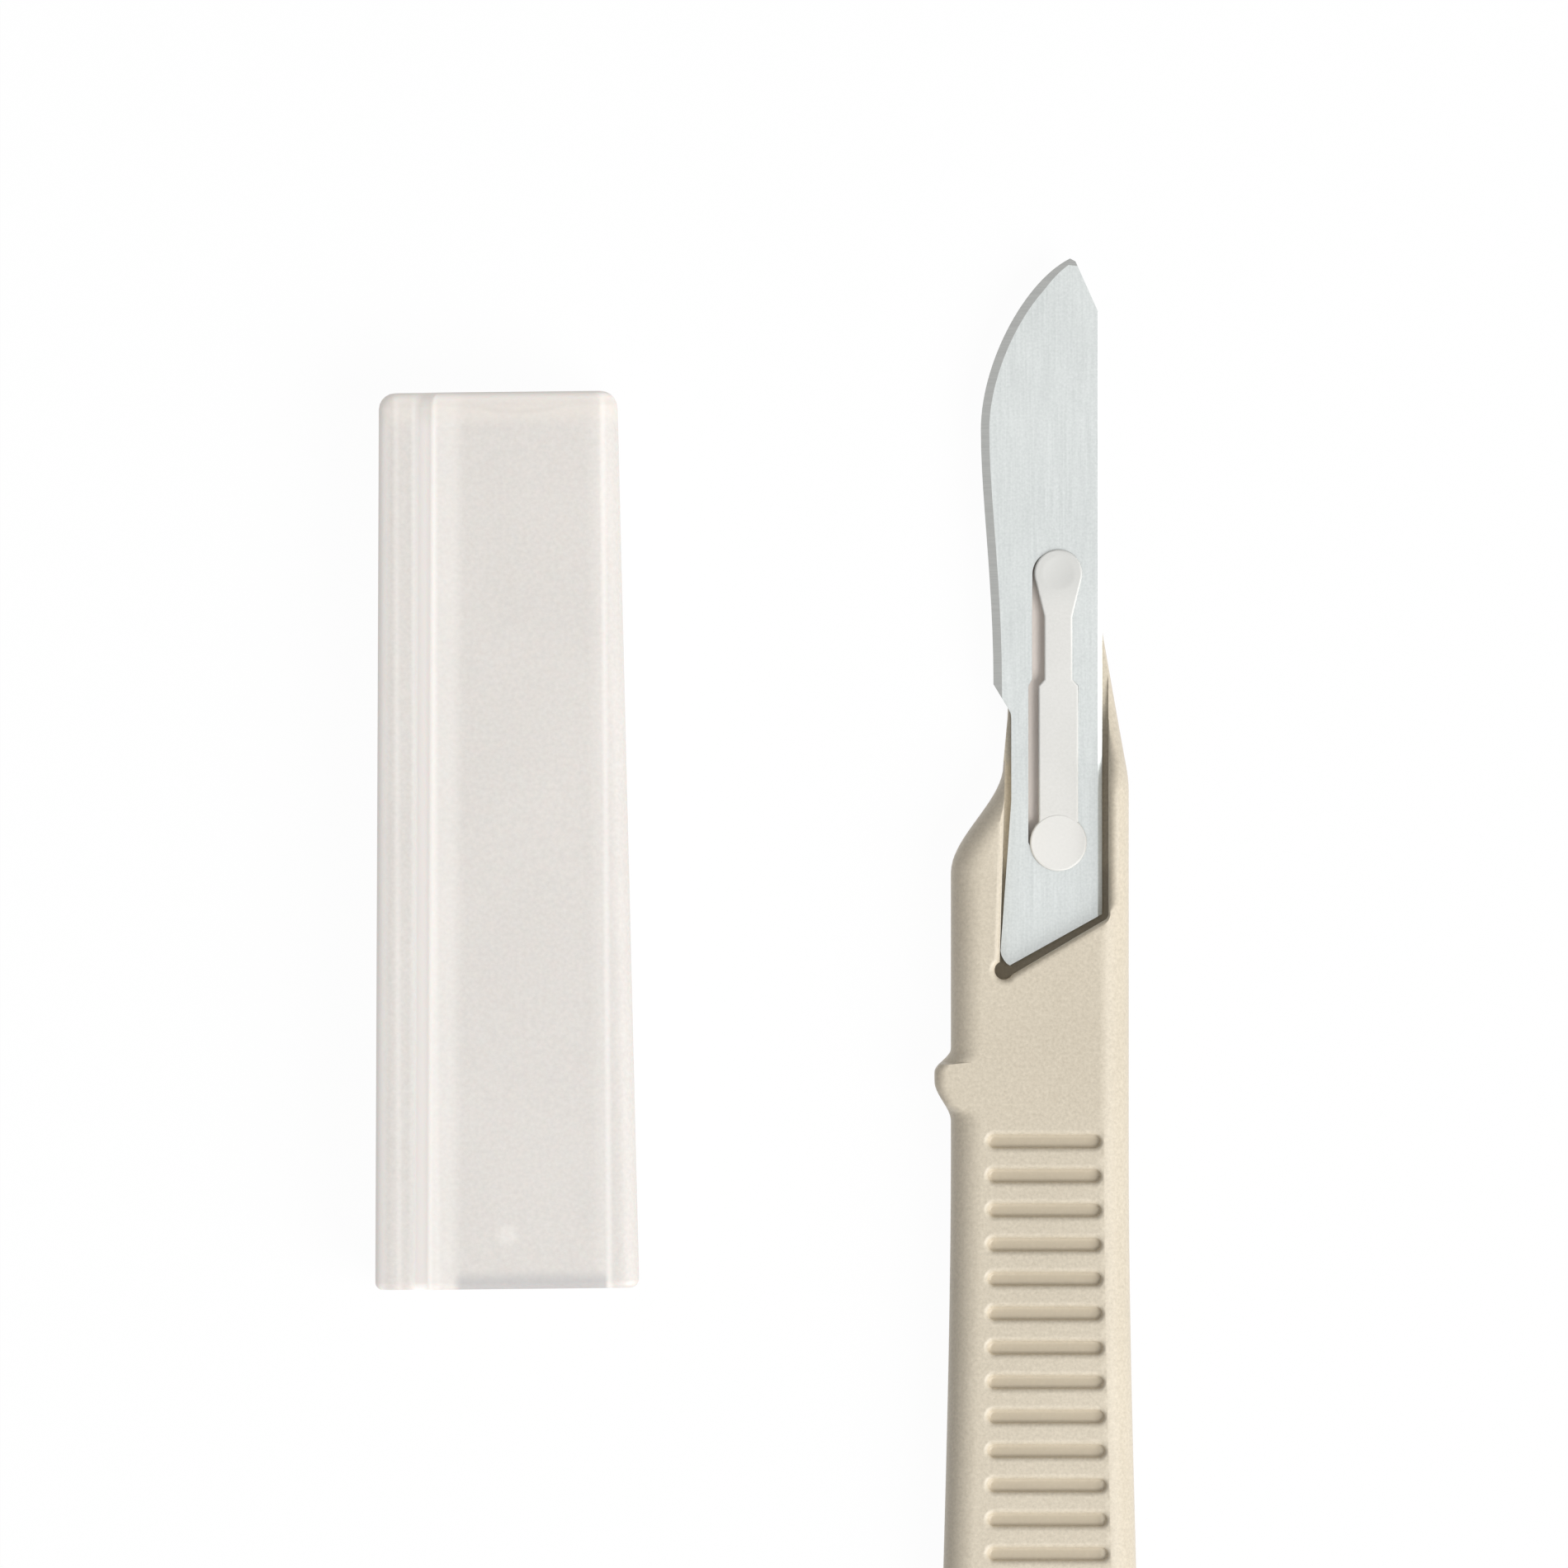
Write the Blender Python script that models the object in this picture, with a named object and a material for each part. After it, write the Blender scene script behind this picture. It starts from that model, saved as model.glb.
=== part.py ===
"""A disposable scalpel lying flat, with its blade cover taken off and lying beside it.

Sizes are in millimetres and become metres when a mesh is made. The scalpel is drawn in its own frame:
X = 0 is the handle's axis, Y = 0 is the blade's heel, the blade points to +Y, and Z = 0 is the surface
that everything lies on. At the end the whole set moves so that its footprint is centred on the origin.
"""

import math

import bmesh
import bpy
from mathutils import Matrix, Vector
from mathutils.geometry import interpolate_bezier

MM = 0.001

# Handle: one moulded bar. Y values are measured from the blade's heel.
HANDLE_THICK = 4.4
HANDLE_HALF_WIDTH = 5.28
EDGE_RADIUS = 1.8
NOSE_REACH = 26.0
NOSE_LEFT_WIDTH = 1.5
NOSE_RIGHT_WIDTH = 2.64
NOSE_END_RADIUS = 1.8
NOSE_LIFT_HEIGHT = 0.85
NOSE_LIFT_START = 5.0
NOSE_TOP_HEIGHT = 2.3
TOP_DROP_START = 10.2
TOP_DROP_END = 16.0
NECK_FRONT = 14.7
NECK_LEFT_WIDTH = 1.91
SHOULDER_FRONT = 11.9
SHOULDER_LEFT_WIDTH = 2.17
SHOULDER_BACK = 5.5
RIGHT_TAPER_START = 11.0
RIGHT_CORNER_LENGTH = 1.2
FLARE_START = -11.0
FLARE_HALF_WIDTH = 6.15
FLARE_END = -60.0
TAIL_HALF_WIDTH = 4.7
TAIL_REACH = 98.0
TAIL_END_RADIUS = 4.4
TAIL_EDGE_RADIUS = 1.3
MOST_ROUND_OF_WIDTH = 0.9
MOST_ROUND_OF_HEIGHT = 0.45

# Stop nub on the handle's left side: its outline swells and fades, and its flat top ends in a short ramp.
NUB_HEIGHT = 0.97
NUB_FRONT = -4.95
NUB_FRONT_LENGTH = 1.4
NUB_BACK = -9.25
NUB_BACK_LENGTH = 2.35
NUB_TOP_FRONT = -5.86
NUB_TOP_BACK = -8.2
NUB_RAMP_LENGTH = 0.68
NUB_EDGE_RADIUS = 0.7

# Grip grooves, the same on both faces.
GROOVE_FIRST = -10.5
GROOVE_PITCH = 2.04
GROOVE_COUNT = 18
GROOVE_WIDTH = 0.86
GROOVE_DEPTH = 0.38
GROOVE_LEFT_WIDTH = 3.23
GROOVE_RIGHT_GAP = 1.55
GROOVE_END_ANGLE = math.radians(75)

# Blade: stamped strip, spine to the right, cutting edge to the left.
BLADE_LENGTH = 42.0
BLADE_THICK = 0.4
BLADE_WIDTH = 7.2
SPINE_X = 3.7
TIP_DISTANCE = 1.9
POINT_SLOPE_LENGTH = 3.7
TIP_BLUNT_WIDTH = 0.32
TIP_BLUNT_LENGTH = 0.17
BELLY_LENGTH = 10.2
TIP_ANGLE = math.radians(26.4)
TIP_CURVE_LENGTH = 3.0
BELLY_CURVE_LENGTH = 4.0
EDGE_END = 16.7
EDGE_END_WIDTH = 6.45
EDGE_END_CURVE_LENGTH = 6.1
STEP_LENGTH = 1.75
STEP_RADIUS = 0.5
TANG_WIDTH = 5.39
TANG_STRAIGHT_END = 9.8
HEEL_WIDTH = 6.03
HEEL_CORNER_WIDTH = 0.55
HEEL_SLANT_LENGTH = 3.05
GROUND_BAND_WIDTH = 0.5
EDGE_THICK = 0.03
SPINE_BEVEL_WIDTH = 0.25
SPINE_BEVEL_DEPTH = 0.07

# Pocket in the handle for the blade's tang.
SEAT_HEIGHT = 1.9
SEAT_GAP = 0.1
POCKET_FRONT = 11.7
POCKET_FRONT_GAP = 0.39
POCKET_SIDE_GAP = 0.12
POCKET_SPINE_GAP = 0.47
POCKET_HEEL_GAP = 0.59
POCKET_CORNER_RADIUS = 0.12
POCKET_HEEL_RADIUS = 0.45
RELIEF_RADIUS = 0.55
RELIEF_SIDE_DISTANCE = 0.3
RELIEF_CORNER_DISTANCE = 0.64

# Key: the plastic stud that stands in the nose and passes through the blade's slot.
KEY_X = 1.18
HEAD_TO_NOSE_LENGTH = 2.7
HEAD_TO_NECK_LENGTH = 2.6
NECK_LENGTH = 3.7
HEAD_Y = NOSE_REACH - HEAD_TO_NOSE_LENGTH
NECK_Y = HEAD_Y - HEAD_TO_NECK_LENGTH
STEM_Y = NECK_Y - NECK_LENGTH
HEAD_RADIUS = 1.42
NECK_HALF_WIDTH = 0.83
STEM_STEP_LENGTH = 0.4
STEM_HALF_WIDTH = 1.18
DISC_Y = 7.3
DISC_RADIUS = 1.69
SHANK_INSET = 0.16
SHANK_HEAD_RADIUS = 0.96
SHANK_DISC_RADIUS = 1.04
KEY_ROOT_DEPTH = 0.6
KEY_HEIGHT = 0.38
DISC_HEIGHT = 0.46
KEY_EDGE_RADIUS = 0.12
DISH_RADIUS = 1.07
DISH_FLOOR_RADIUS = 0.6
DISH_DEPTH = 0.1
KEY_FIT_GAP = 0.1
SLOT_SIDE_GAP = 0.88
SLOT_END_GAP = 0.4

# Blade cover: a drafted sleeve with a lower channel along its left side for the nub.
COVER_LENGTH = 53.1
COVER_WALL = 0.9
COVER_END_WALL = 1.1
COVER_MOUTH_WIDTH = 15.6
COVER_END_WIDTH = 14.1
COVER_MOUTH_HEIGHT = 8.0
COVER_END_HEIGHT = 7.0
CHANNEL_WIDTH = 2.3
CHANNEL_DROP_HEIGHT = 0.8
CHANNEL_RADIUS = 1.15
SHOULDER_SLANT_WIDTH = 0.9
SHOULDER_RADIUS = 0.45
COVER_EDGE_RADIUS = 1.3
COVER_END_RADIUS = 0.95
COVER_INNER_RADIUS = 0.4
COVER_LIP_RADIUS = 0.3
LEAD_IN_DEPTH = 1.2
LEAD_IN_WIDTH = 0.35

# Where the cover lies: from the handle's axis to the cover's, and its mouth from the blade's heel.
COVER_ASIDE = 31.6
COVER_MOUTH_Y = -19.1
COVER_TURN = math.radians(0.6)

# Where the spine comes in the blade's outline, counted back from the last edge.
SPINE_EDGE = -2

# Which way a corner of an outline turns, and the tightest arc that is drawn.
OUTWARD = 1
INWARD = -1
LEAST_RADIUS = 0.12

# Fineness of the curves, and how far past a face a cutting tool reaches.
ARC_STEPS = 6
FINE_ARC_STEPS = 10
EDGE_STEPS = 5
COVER_ARC_STEPS = 5
END_ANGLE = math.radians(83)
END_RINGS = 7
NOSE_RINGS = 4
TOP_DROP_RINGS = 6
SHOULDER_RINGS = 12
NUB_RAMP_RINGS = 6
NUB_TOP_RINGS = 8
FLARE_RINGS = 10
TAIL_RINGS = 6
COVER_SIDE_RINGS = 4
GROOVE_SIDES = 10
GROOVE_END_RINGS = 2
PAST_FACE_LENGTH = 1.0


def smooth(t):
    """0 to 1 with level ends."""
    t = min(max(t, 0.0), 1.0)
    return t * t * (3 - 2 * t)


def between(low, high, t):
    return low + (high - low) * t


def evenly(start, end, count):
    return [between(start, end, i / count) for i in range(count + 1)]


def arc(centre_x, centre_y, radius, start, end, steps):
    """Points of an arc, its angles in radians."""
    angles = evenly(start, end, steps)
    return [Vector((centre_x + radius * math.cos(a), centre_y + radius * math.sin(a))) for a in angles]


def rounded(corners, steps):
    """The closed outline through corners given as (x, y, radius), each corner turned into an arc."""
    points = []
    for i, (x, y, radius) in enumerate(corners):
        here = Vector((x, y))
        before = (Vector(corners[i - 1][:2]) - here).normalized()
        after = (Vector(corners[(i + 1) % len(corners)][:2]) - here).normalized()
        half = before.angle(after) / 2
        centre = here + (before + after).normalized() * radius / math.sin(half)
        start = here + before * radius / math.tan(half) - centre
        side = -1 if before.cross(after) > 0 else 1
        sweep = side * (math.pi - 2 * half)
        points += [centre + Matrix.Rotation(sweep * k / steps, 2) @ start for k in range(steps + 1)]
    return points


def drawn_in(corners, depth, steps):
    """A rounded outline moved inwards; a corner is (x, y, radius, turn), its turn 1 out and -1 in."""
    places = inset([Vector(corner[:2]) for corner in corners], [depth] * len(corners))
    radii = [max(radius - turn * depth, LEAST_RADIUS) for _, _, radius, turn in corners]
    return rounded([(place.x, place.y, radius) for place, radius in zip(places, radii)], steps)


def inset(points, depths):
    """The outline with each edge moved inwards by its own depth; edge i runs from point i to the next."""
    count = len(points)
    moved = []
    for i in range(count):
        here = points[i]
        into = (here - points[i - 1]).normalized()
        out = (points[(i + 1) % count] - here).normalized()
        into_normal = Vector((-into.y, into.x))
        out_normal = Vector((-out.y, out.x))
        a = into_normal * depths[i - 1]
        b = out_normal * depths[i]
        bend = into.cross(out)
        if abs(bend) < 0.02:
            moved.append(here + (a + b) / 2)
        else:
            moved.append(here + a + into * (b - a).cross(out) / bend)
    return moved


def finish(name, shape, sharp_degrees=30):
    """A new object from a bmesh in millimetres, shaded smooth except over its sharp edges."""
    bmesh.ops.recalc_face_normals(shape, faces=shape.faces)
    bmesh.ops.scale(shape, vec=Vector((MM, MM, MM)), verts=shape.verts)
    mesh = bpy.data.meshes.new(name)
    shape.to_mesh(mesh)
    shape.free()
    mesh.shade_smooth()
    mesh.set_sharp_from_angle(angle=math.radians(sharp_degrees))
    made = bpy.data.objects.new(name, mesh)
    bpy.context.scene.collection.objects.link(made)
    return made


def add_loft(shape, rings):
    """Adds a closed skin over rings of equally many points, with a cap on the first and the last."""
    rows = [[shape.verts.new(point) for point in ring] for ring in rings]
    for low, high in zip(rows, rows[1:]):
        for i in range(len(low)):
            j = (i + 1) % len(low)
            shape.faces.new((low[i], low[j], high[j], high[i]))
    shape.faces.new(list(reversed(rows[0])))
    shape.faces.new(rows[-1])


def loft(name, rings, sharp_degrees=30):
    shape = bmesh.new()
    add_loft(shape, rings)
    return finish(name, shape, sharp_degrees)


def level(outline, z):
    """The flat outline lifted to a height."""
    return [Vector((point.x, point.y, z)) for point in outline]


def domed(outline, low, high, radius, steps=3):
    """Rings of a slab whose upper rim is rounded."""
    rings = [level(outline, low)]
    for k in range(steps + 1):
        angle = math.pi / 2 * k / steps
        depth = radius * (1 - math.cos(angle))
        z = high - radius + radius * math.sin(angle)
        rings.append(level(inset(outline, [depth] * len(outline)), z))
    return rings


def helper(made):
    """Marks an object as a tool that shapes others and is no part of the scalpel."""
    made.hide_render = True
    made.display_type = "WIRE"
    return made


def boolean(target, tool, operation):
    modifier = target.modifiers.new(f"{operation.lower()} {tool.name}", "BOOLEAN")
    modifier.operation = operation
    modifier.object = tool


def plastic_or_metal(name, colour, roughness, metallic=0.0, alpha=1.0):
    material = bpy.data.materials.new(name)
    material.use_nodes = True
    shader = material.node_tree.nodes["Principled BSDF"]
    shader.inputs["Base Color"].default_value = (*colour, 1.0)
    shader.inputs["Roughness"].default_value = roughness
    shader.inputs["Metallic"].default_value = metallic
    shader.inputs["Alpha"].default_value = alpha
    material.diffuse_color = (*colour, alpha)
    return material


def left_side(y):
    """The handle's left side: a narrow nose, an S-shaped shoulder, a waist, a slow flare and the tail."""
    if y >= NECK_FRONT:
        done = (y - NECK_FRONT) / (NOSE_REACH - NECK_FRONT)
        return between(NECK_LEFT_WIDTH, NOSE_LEFT_WIDTH, done)
    if y >= SHOULDER_FRONT:
        done = (y - SHOULDER_FRONT) / (NECK_FRONT - SHOULDER_FRONT)
        return between(SHOULDER_LEFT_WIDTH, NECK_LEFT_WIDTH, done)
    if y > FLARE_START:
        done = smooth((SHOULDER_FRONT - y) / (SHOULDER_FRONT - SHOULDER_BACK))
        return between(SHOULDER_LEFT_WIDTH, HANDLE_HALF_WIDTH, done)
    return rear_half_width(y)


def right_side(y):
    """The handle's right side: straight, then round a soft corner into one long taper to the nose."""
    if y <= FLARE_START:
        return rear_half_width(y)
    slope = (HANDLE_HALF_WIDTH - NOSE_RIGHT_WIDTH) / (NOSE_REACH - RIGHT_TAPER_START)
    turned = y - RIGHT_TAPER_START + RIGHT_CORNER_LENGTH / 2
    bent = min(max(turned, 0.0), RIGHT_CORNER_LENGTH)
    straight = max(turned - RIGHT_CORNER_LENGTH, 0.0)
    return HANDLE_HALF_WIDTH - slope * (bent * bent / (2 * RIGHT_CORNER_LENGTH) + straight)


def rear_half_width(y):
    if y > FLARE_END:
        done = smooth((FLARE_START - y) / (FLARE_START - FLARE_END))
        return between(HANDLE_HALF_WIDTH, FLARE_HALF_WIDTH, done)
    return between(FLARE_HALF_WIDTH, TAIL_HALF_WIDTH, smooth((FLARE_END - y) / (FLARE_END + TAIL_REACH)))


def underside(y):
    """The height of the handle's lower face, which lifts off the surface under the nose."""
    return NOSE_LIFT_HEIGHT * smooth((y - NOSE_LIFT_START) / (NOSE_REACH - NOSE_LIFT_START))


def topside(y):
    """The height of the handle's upper face, which drops towards the nose so that the blade lies clear."""
    done = smooth((y - TOP_DROP_START) / (TOP_DROP_END - TOP_DROP_START))
    return between(HANDLE_THICK, NOSE_TOP_HEIGHT, done)


def end_squeeze(y):
    """How far the section is drawn in at both ends: a share of its width, and a depth."""
    nose_start = NOSE_REACH - NOSE_END_RADIUS
    tail_start = TAIL_END_RADIUS - TAIL_REACH
    if y > nose_start:
        run = (y - nose_start) / NOSE_END_RADIUS
        return math.sqrt(max(1 - run * run, 0.0)), 0.0
    if y < tail_start:
        run = (tail_start - y) / TAIL_END_RADIUS
        edge_run = max((TAIL_EDGE_RADIUS - TAIL_REACH - y) / TAIL_EDGE_RADIUS, 0.0)
        depth = TAIL_EDGE_RADIUS * (1 - math.sqrt(max(1 - edge_run * edge_run, 0.0)))
        return math.sqrt(max(1 - run * run, 0.0)), depth
    return 1.0, 0.0


def nub_reach(y):
    """How far the stop nub stands out of the left side at y."""
    front = smooth((NUB_FRONT - y) / NUB_FRONT_LENGTH)
    back = smooth((y - NUB_BACK) / NUB_BACK_LENGTH)
    return NUB_HEIGHT * front * back


def nub_fullness(y):
    """0 where the left corners are as soft as the rest of the handle's, 1 where the nub squares them up."""
    ahead = (NUB_TOP_FRONT + NUB_RAMP_LENGTH - y) / NUB_RAMP_LENGTH
    behind = (y - NUB_TOP_BACK + NUB_RAMP_LENGTH) / NUB_RAMP_LENGTH
    return min(max(min(ahead, behind), 0.0), 1.0)


def handle_section(y, share, depth):
    """A rounded bar's section at y, as a closed ring."""
    middle = (right_side(y) - left_side(y)) / 2
    half = (right_side(y) + left_side(y)) / 2 * share
    low = underside(y) + depth
    high = topside(y) - depth
    radius = min(EDGE_RADIUS, MOST_ROUND_OF_WIDTH * half, MOST_ROUND_OF_HEIGHT * (high - low))
    left_radius = between(radius, min(radius, NUB_EDGE_RADIUS), nub_fullness(y))
    left = middle - half - nub_reach(y)
    corners = [
        (middle + half, low, radius),
        (middle + half, high, radius),
        (left, high, left_radius),
        (left, low, left_radius),
    ]
    return [Vector((point.x, y, point.y)) for point in rounded(corners, EDGE_STEPS)]


def handle_stations():
    """Y places of the handle's sections, closer together where its outline turns."""
    ends = [math.sin(angle) for angle in evenly(END_ANGLE, 0, END_RINGS)]
    nose = [NOSE_REACH - NOSE_END_RADIUS * (1 - run) for run in ends]
    lifted = evenly(nose[-1], TOP_DROP_END, NOSE_RINGS)[1:]
    lifted += evenly(TOP_DROP_END, SHOULDER_FRONT, TOP_DROP_RINGS)[1:-1]
    shoulder = evenly(SHOULDER_FRONT, SHOULDER_BACK, SHOULDER_RINGS)
    nub = evenly(NUB_FRONT, NUB_TOP_FRONT, NUB_RAMP_RINGS)
    nub += evenly(NUB_TOP_FRONT, NUB_TOP_BACK, NUB_TOP_RINGS)[1:-1]
    nub += evenly(NUB_TOP_BACK, NUB_BACK, NUB_RAMP_RINGS)
    flare = evenly(FLARE_START, FLARE_END, FLARE_RINGS)
    tail = [TAIL_END_RADIUS * (1 - run) - TAIL_REACH for run in reversed(ends)]
    taper = evenly(FLARE_END, tail[0], TAIL_RINGS)[1:-1]
    return nose + lifted + shoulder + nub + flare + taper + tail


def make_handle_bar():
    rings = [handle_section(y, *end_squeeze(y)) for y in handle_stations()]
    return loft("handle", rings)


def groove_ring(x, y, axis_z, radius):
    angles = [2 * math.pi * k / GROOVE_SIDES for k in range(GROOVE_SIDES)]
    return [Vector((x, y + radius * math.cos(a), axis_z + radius * math.sin(a))) for a in angles]


def make_grooves():
    """One tool for all the grip grooves: round-ended bars sunk a little into both faces."""
    radius = (GROOVE_WIDTH**2 / 4 + GROOVE_DEPTH**2) / (2 * GROOVE_DEPTH)
    turns = evenly(GROOVE_END_ANGLE, 0, GROOVE_END_RINGS)
    shape = bmesh.new()
    for i in range(GROOVE_COUNT):
        y = GROOVE_FIRST - i * GROOVE_PITCH
        left = -GROOVE_LEFT_WIDTH + radius
        right = right_side(y) - GROOVE_RIGHT_GAP - radius
        for axis_z in (HANDLE_THICK + radius - GROOVE_DEPTH, GROOVE_DEPTH - radius):
            start = [groove_ring(left - radius * math.sin(a), y, axis_z, radius * math.cos(a)) for a in turns]
            end = [groove_ring(right + radius * math.sin(a), y, axis_z, radius * math.cos(a)) for a in turns]
            add_loft(shape, start + list(reversed(end)))
    return helper(finish("grip_grooves", shape))


def spine_to_left(width):
    """The X that lies a given width to the left of the blade's spine."""
    return SPINE_X - width


def make_pocket():
    """The space for the tang: it narrows towards the heel and leaves a gap behind the slanted edge there."""
    front_x = spine_to_left(TANG_WIDTH) - POCKET_FRONT_GAP
    heel_x = spine_to_left(HEEL_WIDTH) - POCKET_SIDE_GAP
    right_x = SPINE_X + POCKET_SPINE_GAP
    slope = HEEL_SLANT_LENGTH / (HEEL_WIDTH - HEEL_CORNER_WIDTH)
    drop = POCKET_HEEL_GAP * math.hypot(1, slope)
    left_y = -slope * HEEL_CORNER_WIDTH - drop
    right_y = HEEL_SLANT_LENGTH + slope * POCKET_SPINE_GAP - drop
    front_y = BLADE_LENGTH
    edge_x = spine_to_left(BLADE_WIDTH) - POCKET_SIDE_GAP
    corners = [
        (heel_x, left_y, POCKET_HEEL_RADIUS),
        (right_x, right_y, POCKET_CORNER_RADIUS),
        (right_x, front_y, POCKET_CORNER_RADIUS),
        (edge_x, front_y, POCKET_CORNER_RADIUS),
        (edge_x, POCKET_FRONT, POCKET_CORNER_RADIUS),
        (front_x, POCKET_FRONT, POCKET_CORNER_RADIUS),
    ]
    heights = (SEAT_HEIGHT, HANDLE_THICK + PAST_FACE_LENGTH)
    pocket = loft("tang_pocket", [level(rounded(corners, EDGE_STEPS), z) for z in heights])
    relief_x = heel_x + RELIEF_SIDE_DISTANCE
    relief_y = left_y + RELIEF_CORNER_DISTANCE
    relief = arc(relief_x, relief_y, RELIEF_RADIUS, 0, 2 * math.pi, 4 * ARC_STEPS)[:-1]
    corner_relief = loft("pocket_relief", [level(relief, z) for z in heights])
    return helper(pocket), helper(corner_relief)


def key_outline(head_radius, neck, stem, disc_radius, end_play=0.0, shift=0.0):
    """A key's outline, anticlockwise: a pear head, a narrow neck, a wider stem and a round disc."""
    head = Vector((0, HEAD_Y + end_play))
    to_neck = Vector((neck, NECK_Y)) - head
    tangent = math.atan2(to_neck.y, to_neck.x) + math.acos(head_radius / to_neck.length)
    disc = Vector((0, DISC_Y - end_play))
    meet = math.acos(min(stem / disc_radius, 1.0))
    right = arc(0, disc.y, disc_radius, -math.pi / 2, meet, FINE_ARC_STEPS)
    right += [Vector((stem, STEM_Y - STEM_STEP_LENGTH)), Vector((neck, STEM_Y)), Vector((neck, NECK_Y))]
    right += arc(0, head.y, head_radius, tangent, math.pi / 2, FINE_ARC_STEPS)
    left = [Vector((-point.x, point.y)) for point in reversed(right[1:-1])]
    return [Vector((KEY_X + shift + point.x, point.y)) for point in right + left]


def shank_outline(extra=0.0, end_play=0.0, shift=0.0):
    """The part of the key that goes through the slot and into the nose, a little inside the key's rim."""
    neck = NECK_HALF_WIDTH - SHANK_INSET + extra
    stem = STEM_HALF_WIDTH - SHANK_INSET + extra
    return key_outline(SHANK_HEAD_RADIUS + extra, neck, stem, SHANK_DISC_RADIUS + extra, end_play, shift)


def blade_outline():
    """The blade anticlockwise from its blunted tip, and how many of its first edges are ground sharp."""
    tip = Vector((spine_to_left(TIP_DISTANCE), BLADE_LENGTH))
    belly = Vector((spine_to_left(BLADE_WIDTH), BLADE_LENGTH - BELLY_LENGTH))
    end = Vector((spine_to_left(EDGE_END_WIDTH), EDGE_END))
    tip_handle = tip - TIP_CURVE_LENGTH * Vector((math.cos(TIP_ANGLE), math.sin(TIP_ANGLE)))
    curved = interpolate_bezier(tip, tip_handle, belly + Vector((0, BELLY_CURVE_LENGTH)), belly, 18)
    straight = interpolate_bezier(
        belly, belly - Vector((0, BELLY_CURVE_LENGTH)), end + Vector((0, EDGE_END_CURVE_LENGTH)), end, 10
    )
    ground = [tip + Vector((TIP_BLUNT_WIDTH, -TIP_BLUNT_LENGTH))] + curved + straight[1:]
    tang = Vector((spine_to_left(TANG_WIDTH), EDGE_END - STEP_LENGTH))
    turn_start = tang + (end - tang).normalized() * STEP_RADIUS
    step = interpolate_bezier(turn_start, tang, tang, tang - Vector((0, STEP_RADIUS)), 6)
    heel = Vector((spine_to_left(HEEL_WIDTH), HEEL_CORNER_WIDTH))
    rest = step + [
        Vector((spine_to_left(TANG_WIDTH), TANG_STRAIGHT_END)),
        heel,
        heel + Vector((HEEL_CORNER_WIDTH, -HEEL_CORNER_WIDTH)),
        Vector((SPINE_X, HEEL_SLANT_LENGTH)),
        Vector((SPINE_X, BLADE_LENGTH - POINT_SLOPE_LENGTH)),
    ]
    return ground + rest, len(ground) - 1


def blade_ring(height):
    """The blade's outline at a height above its lower face, ground and bevelled from both faces."""
    outline, ground_edges = blade_outline()
    from_face = min(height, BLADE_THICK - height)
    depths = [0.0] * len(outline)
    grinding = max(1 - 2 * from_face / (BLADE_THICK - EDGE_THICK), 0.0)
    depths[:ground_edges] = [GROUND_BAND_WIDTH * grinding] * ground_edges
    depths[SPINE_EDGE] = SPINE_BEVEL_WIDTH * max(1 - from_face / SPINE_BEVEL_DEPTH, 0.0)
    return level(inset(outline, depths), SEAT_HEIGHT + SEAT_GAP + height)


def make_blade():
    """The stamped strip, thinned along its cutting edge on both faces, with the slot cut out."""
    lower = (0.0, SPINE_BEVEL_DEPTH, (BLADE_THICK - EDGE_THICK) / 2)
    upper = [BLADE_THICK - height for height in reversed(lower)]
    blade = loft("blade", [blade_ring(height) for height in (*lower, *upper)], sharp_degrees=12)
    low = SEAT_HEIGHT + SEAT_GAP
    spread = (SLOT_SIDE_GAP + KEY_FIT_GAP) / 2
    slot_sides = shank_outline(spread, end_play=SLOT_END_GAP - spread, shift=KEY_FIT_GAP - spread)
    heights = (low - PAST_FACE_LENGTH, low + BLADE_THICK + PAST_FACE_LENGTH)
    slot = helper(loft("blade_slot", [level(slot_sides, z) for z in heights]))
    boolean(blade, slot, "DIFFERENCE")
    return blade, slot


def make_key():
    """The stud: a shank from the nose up through the slot, under a stem, a dished pear head and a disc."""
    blade_top = SEAT_HEIGHT + SEAT_GAP + BLADE_THICK
    over_blade = blade_top + SEAT_GAP
    top = blade_top + KEY_HEIGHT
    outline = key_outline(HEAD_RADIUS, NECK_HALF_WIDTH, STEM_HALF_WIDTH, STEM_HALF_WIDTH)
    key = loft("blade_key", domed(outline, over_blade, top, KEY_EDGE_RADIUS))
    heights = (SEAT_HEIGHT - KEY_ROOT_DEPTH, top - KEY_EDGE_RADIUS)
    shank = loft("key_shank", [level(shank_outline(), z) for z in heights])
    circle = arc(KEY_X, DISC_Y, DISC_RADIUS, 0, 2 * math.pi, 4 * FINE_ARC_STEPS)[:-1]
    disc = loft("key_disc", domed(circle, over_blade, blade_top + DISC_HEIGHT, KEY_EDGE_RADIUS))
    dish_steps = (
        (DISH_FLOOR_RADIUS, top - DISH_DEPTH),
        (DISH_RADIUS, top),
        (DISH_RADIUS, top + PAST_FACE_LENGTH),
    )
    dish_rings = [
        level(arc(KEY_X, HEAD_Y, radius, 0, 2 * math.pi, 4 * ARC_STEPS)[:-1], z) for radius, z in dish_steps
    ]
    dish = loft("head_dish", dish_rings)
    for tool, operation in ((shank, "UNION"), (disc, "UNION"), (dish, "DIFFERENCE")):
        boolean(key, helper(tool), operation)
    return key, shank, disc, dish


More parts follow.
